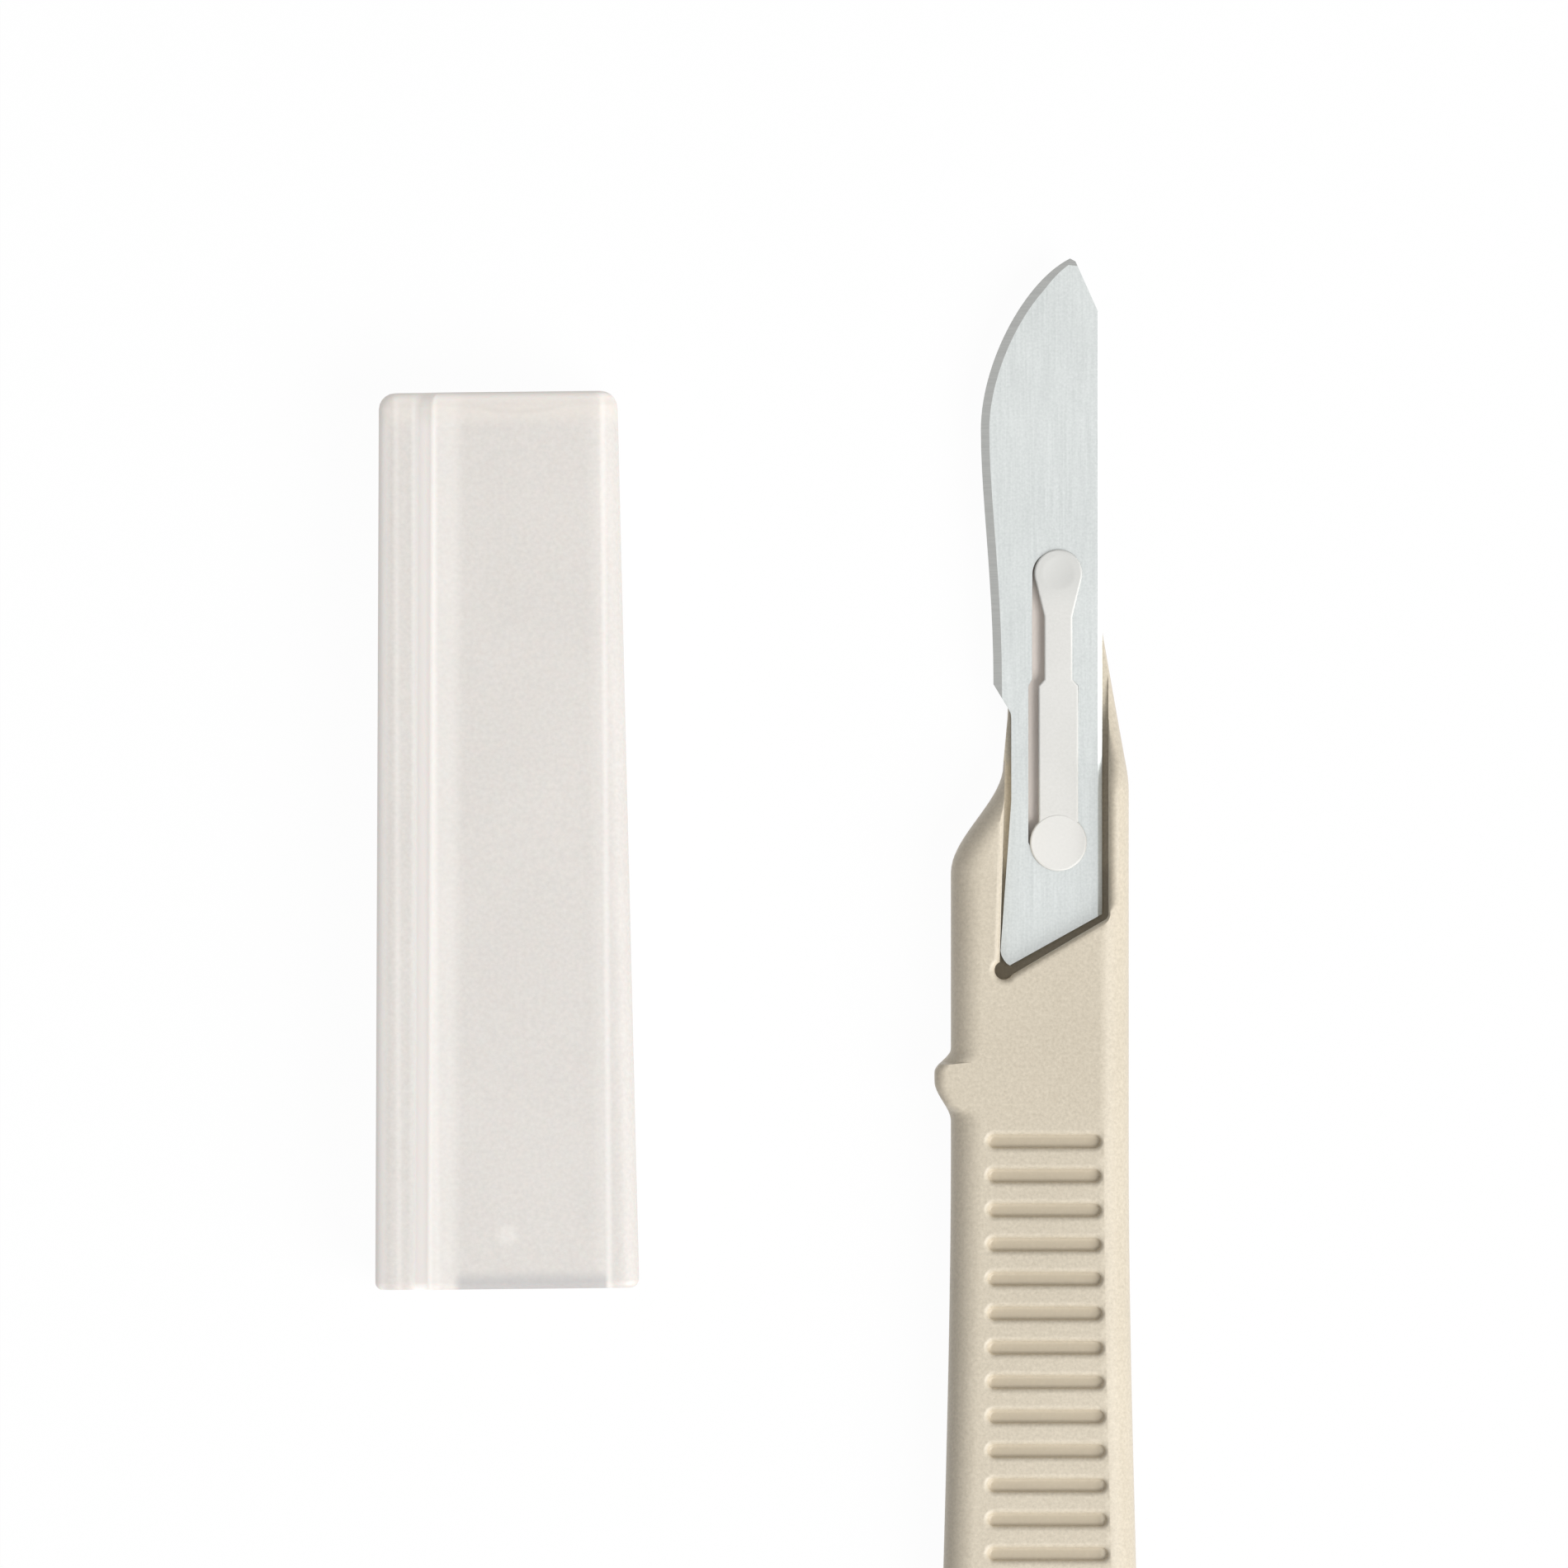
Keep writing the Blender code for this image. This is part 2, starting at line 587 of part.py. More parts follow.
def make_handle():
    handle = make_handle_bar()
    pocket, relief = make_pocket()
    socket_sides = shank_outline(KEY_FIT_GAP)
    socket_floor = SEAT_HEIGHT - KEY_ROOT_DEPTH - SEAT_GAP
    heights = (socket_floor, SEAT_HEIGHT + PAST_FACE_LENGTH)
    socket = helper(loft("key_socket", [level(socket_sides, z) for z in heights]))
    grooves = make_grooves()
    for tool in (pocket, relief, socket, grooves):
        boolean(handle, tool, "DIFFERENCE")
    return handle, pocket, relief, socket, grooves


def cover_section(y, depth):
    """The sleeve's section at y, drawn in by a depth: a main box with a lower channel on its left."""
    share = y / COVER_LENGTH
    width = between(COVER_MOUTH_WIDTH, COVER_END_WIDTH, share)
    height = between(COVER_MOUTH_HEIGHT, COVER_END_HEIGHT, share)
    left = -width / 2
    wall_x = left + CHANNEL_WIDTH
    low = CHANNEL_DROP_HEIGHT
    high = height - CHANNEL_DROP_HEIGHT
    corners = [
        (width / 2, 0, COVER_EDGE_RADIUS, OUTWARD),
        (width / 2, height, COVER_EDGE_RADIUS, OUTWARD),
        (wall_x + SHOULDER_SLANT_WIDTH, height, SHOULDER_RADIUS, OUTWARD),
        (wall_x, high, SHOULDER_RADIUS, INWARD),
        (left, high, CHANNEL_RADIUS, OUTWARD),
        (left, low, CHANNEL_RADIUS, OUTWARD),
        (wall_x, low, SHOULDER_RADIUS, INWARD),
        (wall_x + SHOULDER_SLANT_WIDTH, 0, SHOULDER_RADIUS, OUTWARD),
    ]
    return [Vector((point.x, y, point.y)) for point in drawn_in(corners, depth, COVER_ARC_STEPS)]


def make_cover():
    """The sleeve from its closed end, over the outside, round the lip, and back up the inside."""
    quarter = evenly(0, math.pi / 2, 4)
    rings = []
    for angle in reversed(quarter):
        y = COVER_LENGTH - COVER_END_RADIUS * (1 - math.sin(angle))
        rings.append(cover_section(y, COVER_END_RADIUS * (1 - math.cos(angle))))
    between_ends = evenly(COVER_LENGTH - COVER_END_RADIUS, COVER_LIP_RADIUS, COVER_SIDE_RINGS)
    rings += [cover_section(y, 0) for y in between_ends[1:-1]]
    for angle in quarter:
        y = COVER_LIP_RADIUS * (1 - math.sin(angle))
        rings.append(cover_section(y, COVER_LIP_RADIUS * (1 - math.cos(angle))))
    rings.append(cover_section(0, COVER_WALL - LEAD_IN_WIDTH))
    rings.append(cover_section(LEAD_IN_DEPTH, COVER_WALL))
    inner_end = COVER_LENGTH - COVER_END_WALL
    for angle in quarter:
        y = inner_end - COVER_INNER_RADIUS * (1 - math.sin(angle))
        rings.append(cover_section(y, COVER_WALL + COVER_INNER_RADIUS * (1 - math.cos(angle))))
    return loft("blade_cover", rings)


def empty(name, parent=None):
    made = bpy.data.objects.new(name, None)
    bpy.context.scene.collection.objects.link(made)
    made.parent = parent
    return made


def centre_layout(layout, pieces):
    """Moves the set so that the middle of its footprint is on the origin, lying on Z = 0."""
    bpy.context.view_layer.update()
    points = [piece.matrix_world @ vertex.co for piece in pieces for vertex in piece.data.vertices]
    for axis in (0, 1):
        values = [point[axis] for point in points]
        layout.location[axis] = -(min(values) + max(values)) / 2


def main():
    for old in list(bpy.data.objects):
        bpy.data.objects.remove(old, do_unlink=True)
    layout = empty("layout")
    scalpel_axis = empty("scalpel_axis", layout)
    cover_place = empty("cover_place", layout)
    cover_place.location = (-COVER_ASIDE * MM, COVER_MOUTH_Y * MM, 0)
    cover_place.rotation_euler.z = COVER_TURN
    handle, *handle_tools = make_handle()
    blade, slot = make_blade()
    key, *key_tools = make_key()
    cover = make_cover()
    cover.parent = cover_place
    for piece in (handle, blade, key, slot, *handle_tools, *key_tools):
        piece.parent = scalpel_axis
    handle.data.materials.append(plastic_or_metal("beige plastic", (0.69, 0.61, 0.48), 0.55))
    blade.data.materials.append(plastic_or_metal("ground steel", (0.72, 0.75, 0.74), 0.32, metallic=1.0))
    key.data.materials.append(plastic_or_metal("white plastic", (0.81, 0.80, 0.77), 0.45))
    cover.data.materials.append(plastic_or_metal("milky plastic", (0.78, 0.75, 0.71), 0.3, alpha=0.8))
    centre_layout(layout, (handle, blade, key, cover))


main()
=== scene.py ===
"""The disposable scalpel and its blade cover, finished for the eye.

Each piece has a section of its own, in the order in which the pieces are put together.
"""

import math

import bmesh
import bpy
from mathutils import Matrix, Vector
from mathutils.geometry import interpolate_bezier


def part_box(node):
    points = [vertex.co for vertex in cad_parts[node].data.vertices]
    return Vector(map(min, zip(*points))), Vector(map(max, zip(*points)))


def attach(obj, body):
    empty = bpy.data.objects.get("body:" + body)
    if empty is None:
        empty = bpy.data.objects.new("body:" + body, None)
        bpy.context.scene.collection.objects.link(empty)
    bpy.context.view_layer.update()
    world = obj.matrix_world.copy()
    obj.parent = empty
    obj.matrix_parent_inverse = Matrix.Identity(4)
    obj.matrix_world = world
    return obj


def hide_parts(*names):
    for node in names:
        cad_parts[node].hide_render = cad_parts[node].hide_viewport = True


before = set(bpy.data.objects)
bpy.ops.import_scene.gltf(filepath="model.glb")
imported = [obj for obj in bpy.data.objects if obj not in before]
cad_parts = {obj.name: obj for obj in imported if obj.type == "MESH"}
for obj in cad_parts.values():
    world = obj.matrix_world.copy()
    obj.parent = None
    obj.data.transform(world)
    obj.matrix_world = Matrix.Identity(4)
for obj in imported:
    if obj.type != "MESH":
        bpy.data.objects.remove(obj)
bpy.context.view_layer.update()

# Handle: one flat bar of beige ABS, injection moulded with a spark-eroded skin. The nose is stepped down
# as a seat for the blade, a nub on the left stops the cover, and round-ended grooves on both faces give
# the fingers a grip. It is modelled in millimetres, with the blade's heel at Y = 0.
MM = 0.001
SPINE_X = 3.7
SCALPEL_AXIS_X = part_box("blade")[1].x / MM - SPINE_X
HEEL_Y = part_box("blade")[0].y / MM

HANDLE_THICK = 4.4
HANDLE_HALF_WIDTH = 5.28
HANDLE_EDGE_RADIUS = 1.8
HANDLE_EDGE_STEPS = 9
NOSE_REACH = 26.0
NOSE_LEFT_WIDTH = 1.5
NOSE_RIGHT_WIDTH = 2.64
NOSE_END_RADIUS = 1.8
NOSE_LIFT_HEIGHT = 0.85
NOSE_LIFT_START = 5.0
NOSE_TOP_HEIGHT = 2.3
TOP_DROP_START = 10.2
TOP_DROP_END = 16.0
NECK_FRONT = 14.7
NECK_LEFT_WIDTH = 1.91
SHOULDER_FRONT = 11.9
SHOULDER_LEFT_WIDTH = 2.17
SHOULDER_BACK = 5.5
RIGHT_TAPER_START = 11.0
RIGHT_CORNER_LENGTH = 1.2
FLARE_START = -11.0
FLARE_END = -60.0
FLARE_HALF_WIDTH = 6.15
TAIL_REACH = 98.0
TAIL_HALF_WIDTH = 4.7
TAIL_END_RADIUS = 4.4
TAIL_EDGE_RADIUS = 1.3
MOST_ROUND_OF_WIDTH = 0.9
MOST_ROUND_OF_HEIGHT = 0.45

NUB_HEIGHT = 0.97
NUB_FRONT = -4.95
NUB_FRONT_LENGTH = 1.4
NUB_BACK = -9.25
NUB_BACK_LENGTH = 2.35
NUB_TOP_FRONT = -5.86
NUB_TOP_BACK = -8.2
NUB_FRONT_RAMP = 0.12
NUB_BACK_RAMP = 0.5
NUB_EDGE_RADIUS = 0.7

GROOVE_FIRST = -10.42
GROOVE_PITCH = 2.04
GROOVE_COUNT = 18
GROOVE_HALF_WIDTH = 0.7
GROOVE_DEPTH = 0.46
GROOVE_FLOOR_RADIUS = 0.22
GROOVE_LIP_RADIUS = 0.34
GROOVE_WALL_ANGLE = math.radians(10)
GROOVE_FLOOR_ANGLE = math.radians(80)
GROOVE_ROUND_SHARE = 0.999
GROOVE_LEFT_WIDTH = 3.23
GROOVE_RIGHT_GAP = 1.55

SEAT_HEIGHT = 1.9
SEAT_GAP = 0.1
POCKET_LIP_RADIUS = 0.38
LIP_STEPS = 6
PAST_FACE = 1.0
SAME_PLACE = 1e-4
SAME_SECTION = 1e-6
DOUBLE_DISTANCE = 0.01


def between(low, high, share):
    return low + (high - low) * share


def evenly(start, end, count):
    return [between(start, end, i / count) for i in range(count + 1)]


def eased(share):
    """0 to 1 with level ends."""
    share = min(max(share, 0.0), 1.0)
    return share * share * (3 - 2 * share)


def right_side(y):
    if y > FLARE_START:
        slope = (HANDLE_HALF_WIDTH - NOSE_RIGHT_WIDTH) / (NOSE_REACH - RIGHT_TAPER_START)
        turned = y - RIGHT_TAPER_START + RIGHT_CORNER_LENGTH / 2
        bent = min(max(turned, 0.0), RIGHT_CORNER_LENGTH)
        straight = max(turned - RIGHT_CORNER_LENGTH, 0.0)
        return HANDLE_HALF_WIDTH - slope * (bent * bent / (2 * RIGHT_CORNER_LENGTH) + straight)
    if y > FLARE_END:
        share = eased((FLARE_START - y) / (FLARE_START - FLARE_END))
        return between(HANDLE_HALF_WIDTH, FLARE_HALF_WIDTH, share)
    share = eased((FLARE_END - y) / (FLARE_END + TAIL_REACH))
    return between(FLARE_HALF_WIDTH, TAIL_HALF_WIDTH, share)


def left_side(y):
    if y >= NECK_FRONT:
        share = (y - NECK_FRONT) / (NOSE_REACH - NECK_FRONT)
        return between(NECK_LEFT_WIDTH, NOSE_LEFT_WIDTH, share)
    if y >= SHOULDER_FRONT:
        share = (y - SHOULDER_FRONT) / (NECK_FRONT - SHOULDER_FRONT)
        return between(SHOULDER_LEFT_WIDTH, NECK_LEFT_WIDTH, share)
    if y > FLARE_START:
        share = eased((SHOULDER_FRONT - y) / (SHOULDER_FRONT - SHOULDER_BACK))
        return between(SHOULDER_LEFT_WIDTH, HANDLE_HALF_WIDTH, share)
    return right_side(y)


def top_height(y):
    """The upper face drops towards the nose, so that the blade lies clear."""
    share = eased((y - TOP_DROP_START) / (TOP_DROP_END - TOP_DROP_START))
    return between(HANDLE_THICK, NOSE_TOP_HEIGHT, share)


def end_squeeze(y):
    """How far the section is drawn in at the two ends: a share of its width, and a depth."""
    nose_run = (y - NOSE_REACH + NOSE_END_RADIUS) / NOSE_END_RADIUS
    tail_run = (TAIL_END_RADIUS - TAIL_REACH - y) / TAIL_END_RADIUS
    edge_run = max((TAIL_EDGE_RADIUS - TAIL_REACH - y) / TAIL_EDGE_RADIUS, 0.0)
    if nose_run > 0:
        return math.sqrt(1 - min(nose_run, 1.0) ** 2), 0.0
    if tail_run > 0:
        depth = TAIL_EDGE_RADIUS * (1 - math.sqrt(1 - min(edge_run, 1.0) ** 2))
        return math.sqrt(1 - min(tail_run, 1.0) ** 2), depth
    return 1.0, 0.0


def handle_corners(y):
    """The section's four corners at y, as (x, z, radius)."""
    share, depth = end_squeeze(y)
    middle = (right_side(y) - left_side(y)) / 2
    half = (right_side(y) + left_side(y)) / 2 * share
    low = depth + NOSE_LIFT_HEIGHT * eased((y - NOSE_LIFT_START) / (NOSE_REACH - NOSE_LIFT_START))
    high = top_height(y) - depth
    radius = min(HANDLE_EDGE_RADIUS, MOST_ROUND_OF_WIDTH * half, MOST_ROUND_OF_HEIGHT * (high - low))
    nub = eased((NUB_FRONT - y) / NUB_FRONT_LENGTH) * eased((y - NUB_BACK) / NUB_BACK_LENGTH)
    ahead = (NUB_TOP_FRONT + NUB_FRONT_RAMP - y) / NUB_FRONT_RAMP
    behind = (y - NUB_TOP_BACK + NUB_BACK_RAMP) / NUB_BACK_RAMP
    squared = min(max(min(ahead, behind), 0.0), 1.0)
    left_radius = between(radius, min(radius, NUB_EDGE_RADIUS), squared)
    left = middle - half - NUB_HEIGHT * nub
    return [
        (middle + half, low, radius),
        (middle + half, high, radius),
        (left, high, left_radius),
        (left, low, left_radius),
    ]


def pick(*pieces):
    """Selects these pieces alone, and makes the first one active."""
    bpy.ops.object.select_all(action="DESELECT")
    for piece in pieces:
        piece.select_set(True)
    bpy.context.view_layer.objects.active = pieces[0]


def choose(kind, test):
    """Selects the vertices, edges or faces that pass a test; kind is VERT, EDGE or FACE."""
    bpy.ops.mesh.select_mode(type=kind)
    mesh = bmesh.from_edit_mesh(bpy.context.edit_object.data)
    mesh.normal_update()
    for parts in (mesh.verts, mesh.edges, mesh.faces):
        for part in parts:
            part.select = False
    for part in {"VERT": mesh.verts, "EDGE": mesh.edges, "FACE": mesh.faces}[kind]:
        if test(part):
            part.select_set(True)
    mesh.select_flush_mode()
    bmesh.update_edit_mesh(bpy.context.edit_object.data)


def polygon(name, places):
    """A flat face through the given places, left in edit mode."""
    bpy.ops.object.select_all(action="DESELECT")
    bpy.ops.mesh.primitive_circle_add(vertices=len(places), radius=1, fill_type="NGON")
    bpy.context.object.name = bpy.context.object.data.name = name
    bpy.ops.object.mode_set(mode="EDIT")
    starts = [vertex.co.copy() for vertex in bpy.context.object.data.vertices]
    for i, place in enumerate(places):
        choose("VERT", lambda vertex: vertex.index == i)
        bpy.ops.transform.translate(value=Vector(place) - starts[i])
    bpy.ops.mesh.select_all(action="SELECT")


def round_corner(place, radius, steps, before, after):
    """Turns one corner of the flat face into an arc that touches both of its sides."""
    here = Vector(place)
    half = (Vector(before) - here).angle(Vector(after) - here) / 2
    choose("VERT", lambda vertex: (vertex.co - here).length < SAME_PLACE)
    offset = radius / math.tan(half)
    bpy.ops.mesh.bevel(
        affect="VERTICES", offset_type="OFFSET", offset=offset, segments=steps, profile=0.5
    )


def rounded_polygon(name, corners, steps):
    """A flat face whose corners, given as (place, radius), are turned into arcs."""
    places = [place for place, radius in corners]
    polygon(name, places)
    for i, (place, radius) in enumerate(corners):
        if radius:
            round_corner(place, radius, steps, places[i - 1], places[(i + 1) % len(places)])
    bpy.ops.mesh.select_all(action="SELECT")
    bpy.ops.mesh.remove_doubles(threshold=DOUBLE_DISTANCE)


def extrude(x=0.0, y=0.0, z=0.0):
    bpy.ops.mesh.extrude_region_move(TRANSFORM_OT_translate={"value": (x, y, z)})


def draw_out(sections):
    """Draws the selected end face out along Y through sections of (y, corners); its arcs follow them."""
    y_before, corners = sections[0]
    for y, targets in sections[1:]:
        extrude(y=y - y_before)
        mesh = bmesh.from_edit_mesh(bpy.context.edit_object.data)
        groups = [set() for _ in corners]
        for vertex in mesh.verts:
            if vertex.select:
                spans = [math.hypot(vertex.co.x - x, vertex.co.z - z) for x, z, _ in corners]
                groups[spans.index(min(spans))].add(vertex.index)
        for group, (x0, z0, radius0), (x, z, radius) in zip(groups, corners, targets):
            if max(math.hypot(x - x0, z - z0), abs(radius - radius0)) < SAME_SECTION:
                continue
            choose("VERT", lambda vertex: vertex.index in group)
            bpy.ops.transform.translate(value=(x - x0, 0, z - z0))
            share = radius / radius0
            bpy.ops.transform.resize(value=(share, 1, share), center_override=(x, y, z))
        ring = set().union(*groups)
        choose("VERT", lambda vertex: vertex.index in ring)
        y_before, corners = y, targets


def close_up():
    """Points all faces outwards and leaves edit mode."""
    bpy.ops.mesh.select_all(action="SELECT")
    bpy.ops.mesh.normals_make_consistent(inside=False)
    bpy.ops.object.mode_set(mode="OBJECT")
    return bpy.context.object


def cut(piece, tool, operation="DIFFERENCE"):
    """Cuts a tool out of a piece, or joins it on, and takes the tool away."""
    pick(piece)
    boolean = piece.modifiers.new(tool.name, "BOOLEAN")
    boolean.operation = operation
    boolean.object = tool
    bpy.ops.object.modifier_apply(modifier=boolean.name)
    bpy.data.objects.remove(tool)


def lay(piece, x=SCALPEL_AXIS_X, y=HEEL_Y, turn=0.0, smooth_degrees=30):
    """Turns a piece made in millimetres to metres at its place, and smooths all but its sharp edges."""
    pick(piece)
    piece.scale = (MM, MM, MM)
    piece.location = (x * MM, y * MM, 0)
    piece.rotation_euler.z = turn
    bpy.ops.object.transform_apply(location=True, rotation=True, scale=True)
    bpy.ops.object.shade_smooth_by_angle(angle=math.radians(smooth_degrees))
    weighted = piece.modifiers.new("even shading", "WEIGHTED_NORMAL")
    weighted.keep_sharp = True
    weighted.weight = 80
    bpy.ops.object.modifier_apply(modifier=weighted.name)


end_turns = [math.sin(angle) for angle in evenly(math.radians(83), 0, 10)]
nose_stations = [NOSE_REACH - NOSE_END_RADIUS * (1 - run) for run in end_turns]
tail_stations = [TAIL_END_RADIUS * (1 - run) - TAIL_REACH for run in reversed(end_turns)]
between_grooves = [GROOVE_FIRST + GROOVE_PITCH * (0.5 - i) for i in range(GROOVE_COUNT + 1)]
stations = (
    nose_stations
    + evenly(nose_stations[-1], TOP_DROP_END, 5)[1:]
    + evenly(TOP_DROP_END, SHOULDER_FRONT, 9)[1:-1]
    + evenly(SHOULDER_FRONT, SHOULDER_BACK, 18)
    + evenly(SHOULDER_BACK, NUB_FRONT, 3)[1:-1]
    + evenly(NUB_FRONT, NUB_TOP_FRONT + NUB_FRONT_RAMP, 7)
    + evenly(NUB_TOP_FRONT + NUB_FRONT_RAMP, NUB_TOP_FRONT, 2)[1:]
    + evenly(NUB_TOP_FRONT, NUB_TOP_BACK, 12)[1:-1]
    + evenly(NUB_TOP_BACK, NUB_BACK, 8)
    + between_grooves
    + evenly(between_grooves[-1], FLARE_END, 4)[1:]
    + evenly(FLARE_END, tail_stations[0], 8)[1:-1]
    + tail_stations
)
sections = [(y, handle_corners(y)) for y in stations]
nose = [(Vector((x, stations[0], z)), radius) for x, z, radius in sections[0][1]]
rounded_polygon("scalpel_handle", nose, HANDLE_EDGE_STEPS)
draw_out(sections)
handle = close_up()

# The pocket for the tang, with a softened rim.
BLADE_LENGTH = 42.0
TANG_LEFT_X = SPINE_X - 5.39
HEEL_LEFT_X = SPINE_X - 6.03
HEEL_CORNER_WIDTH = 0.55
HEEL_SLANT_LENGTH = 3.05
HEEL_SLOPE = HEEL_SLANT_LENGTH / (SPINE_X - HEEL_LEFT_X - HEEL_CORNER_WIDTH)
HEEL_GAP_LEFT = 0.63
HEEL_GAP_RIGHT = 0.36
POCKET_FRONT = 11.7
POCKET_FRONT_GAP = 0.39
POCKET_SIDE_GAP = 0.12
POCKET_SPINE_GAP = 0.38
POCKET_HEEL_RADIUS = 0.45
POCKET_CORNER_RADIUS = 0.35
POCKET_ARC_STEPS = 6
PAST_HANDLE_X = SPINE_X - 7.32


def pocket_corners(z, grown):
    """The pocket's outline, grown all round."""
    left_x = HEEL_LEFT_X - POCKET_SIDE_GAP - grown
    front_x = TANG_LEFT_X - POCKET_FRONT_GAP - grown
    right_x = SPINE_X + POCKET_SPINE_GAP + grown
    lean = math.hypot(1, HEEL_SLOPE)
    left_y = -HEEL_SLOPE * (HEEL_CORNER_WIDTH + grown) - (HEEL_GAP_LEFT + grown) * lean
    right_y = HEEL_SLOPE * (right_x - HEEL_LEFT_X - HEEL_CORNER_WIDTH) - (HEEL_GAP_RIGHT + grown) * lean
    places = (
        ((left_x, left_y, z), POCKET_HEEL_RADIUS + grown),
        ((right_x, right_y, z), POCKET_CORNER_RADIUS + grown),
        ((right_x, BLADE_LENGTH, z), 0.0),
        ((PAST_HANDLE_X, BLADE_LENGTH, z), 0.0),
        ((PAST_HANDLE_X, POCKET_FRONT, z), 0.0),
        ((front_x, POCKET_FRONT, z), 0.0),
    )
    return [(Vector(place), radius) for place, radius in places]


def sink(steps):
    """Sinks the selected lower face in steps, each an inset and a drop."""
    for inset, drop in steps:
        bpy.ops.mesh.inset(thickness=inset, depth=0)
        bpy.ops.transform.translate(value=(0, 0, -drop))


def lip_steps(radius, count):
    """The insets and drops of a rounded rim."""
    angles = evenly(0, math.pi / 2, count)
    return [
        (radius * (math.sin(b) - math.sin(a)), radius * (math.cos(a) - math.cos(b)))
        for a, b in zip(angles, angles[1:])
    ]


pocket_rim = pocket_corners(HANDLE_THICK + PAST_FACE, POCKET_LIP_RADIUS)
rounded_polygon("pocket tool", pocket_rim, POCKET_ARC_STEPS)
extrude(z=-PAST_FACE)
sink(lip_steps(POCKET_LIP_RADIUS, LIP_STEPS))
extrude(z=POCKET_LIP_RADIUS + SEAT_HEIGHT - HANDLE_THICK)
cut(handle, close_up())

# The pocket's right rim rolls over into the handle's rounded side, and fades out at both ends.
RIM_X = SPINE_X + POCKET_SPINE_GAP
RIM_RADIUS = 0.38
RIM_LEAST_RADIUS = 0.02
RIM_BACK = 2.8
RIM_BACK_FADE = 1.2
RIM_FRONT = 14.6
RIM_FRONT_FADE = 2.5
RIM_OVERLAP = 0.1


def rim_places(y):
    """The rim tool's section at y: a hollow that touches the pocket's wall and the rounded side."""
    side, top, radius = handle_corners(y)[1]
    fade = min(eased((y - RIM_BACK) / RIM_BACK_FADE), eased((RIM_FRONT - y) / RIM_FRONT_FADE))
    roll = between(RIM_LEAST_RADIUS, RIM_RADIUS, fade)
    reach_x = RIM_X + roll - side + radius
    reach_z = math.sqrt((radius - roll) ** 2 - reach_x**2)
    middle = Vector((RIM_X + roll, y, top - radius + reach_z))
    turns = evenly(math.pi, math.atan2(reach_z, reach_x), 7)
    places = [middle + roll * Vector((math.cos(turn), 0, math.sin(turn))) for turn in turns]
    outer = places[-1] + Vector((reach_x, 0, reach_z)).normalized()
    first = Vector((RIM_X - RIM_OVERLAP, y, places[0].z))
    last = Vector((RIM_X - RIM_OVERLAP, y, top + PAST_FACE))
    return [first] + places + [outer, last]


rim_full = RIM_BACK + RIM_BACK_FADE
rim_stations = evenly(RIM_BACK, rim_full, 6) + evenly(rim_full, TOP_DROP_START, 3)[1:]
rim_stations += evenly(TOP_DROP_START, RIM_FRONT, 10)[1:]
before = rim_places(rim_stations[0])
polygon("rim tool", before)
for y in rim_stations[1:]:
    after = rim_places(y)
    extrude(y=y - before[0].y)
    vertices = bmesh.from_edit_mesh(bpy.context.edit_object.data).verts
    ring = {vertex.index: vertex.co.copy() for vertex in vertices if vertex.select}
    for start, end in zip(before, after):
        moved = Vector((start.x, y, start.z))
        number = min(ring, key=lambda index: (ring[index] - moved).length)
        choose("VERT", lambda vertex: vertex.index == number)
        bpy.ops.transform.translate(value=end - ring.pop(number))
    choose("VERT", lambda vertex: abs(vertex.co.y - y) < SAME_PLACE)
    before = after
cut(handle, close_up())

# The blind socket for the key's shank.
KEY_X = 1.1
HEAD_Y = 23.3
NECK_Y = 20.7
STEM_Y = 17.0
STEM_STEP_LENGTH = 0.4
DISC_Y = 7.3
HEAD_RADIUS = 1.42
NECK_HALF_WIDTH = 0.83
STEM_HALF_WIDTH = 1.18
SHANK_INSET = 0.16
SHANK_HEAD_RADIUS = 0.96
SHANK_DISC_RADIUS = 1.04
KEY_FIT_GAP = 0.1
KEY_ROOT_DEPTH = 0.6
SOCKET_DEPTH = 0.7


def circle_places(x, y, z, radius, count, start=0.0, end=2 * math.pi):
    """Places along an arc, its end left out."""
    turns = evenly(start, end, count)[:-1]
    return [Vector((x + radius * math.cos(turn), y + radius * math.sin(turn), z)) for turn in turns]


def key_places(z, head_radius, neck, stem, disc_radius):
    """A key's outline: a pear head, a narrow neck, a wider stem and a round end."""
    reach = Vector((neck, NECK_Y - HEAD_Y))
    tangent = math.atan2(reach.y, reach.x) + math.acos(head_radius / reach.length)
    meet = math.acos(min(stem / disc_radius, 1.0))
    right = circle_places(0, DISC_Y, z, disc_radius, 16, -math.pi / 2, meet)[1:]
    right += [Vector((stem, STEM_Y - STEM_STEP_LENGTH, z)), Vector((neck, STEM_Y, z))]
    right += [Vector((neck, NECK_Y, z))]
    right += circle_places(0, HEAD_Y, z, head_radius, 16, tangent, math.pi / 2)
    left = [Vector((-place.x, place.y, z)) for place in reversed(right)]
    top = [Vector((0, HEAD_Y + head_radius, z))]
    bottom = [Vector((0, DISC_Y - disc_radius, z))]
    return [place + Vector((KEY_X, 0, 0)) for place in bottom + right + top + left]


def shank_places(z, extra=0.0):
    """The outline of the key's shank, grown all round."""
    neck = NECK_HALF_WIDTH - SHANK_INSET + extra
    stem = STEM_HALF_WIDTH - SHANK_INSET + extra
    return key_places(z, SHANK_HEAD_RADIUS + extra, neck, stem, SHANK_DISC_RADIUS + extra)


polygon("socket tool", shank_places(SEAT_HEIGHT + PAST_FACE, KEY_FIT_GAP))
extrude(z=-PAST_FACE - SOCKET_DEPTH)
cut(handle, close_up())

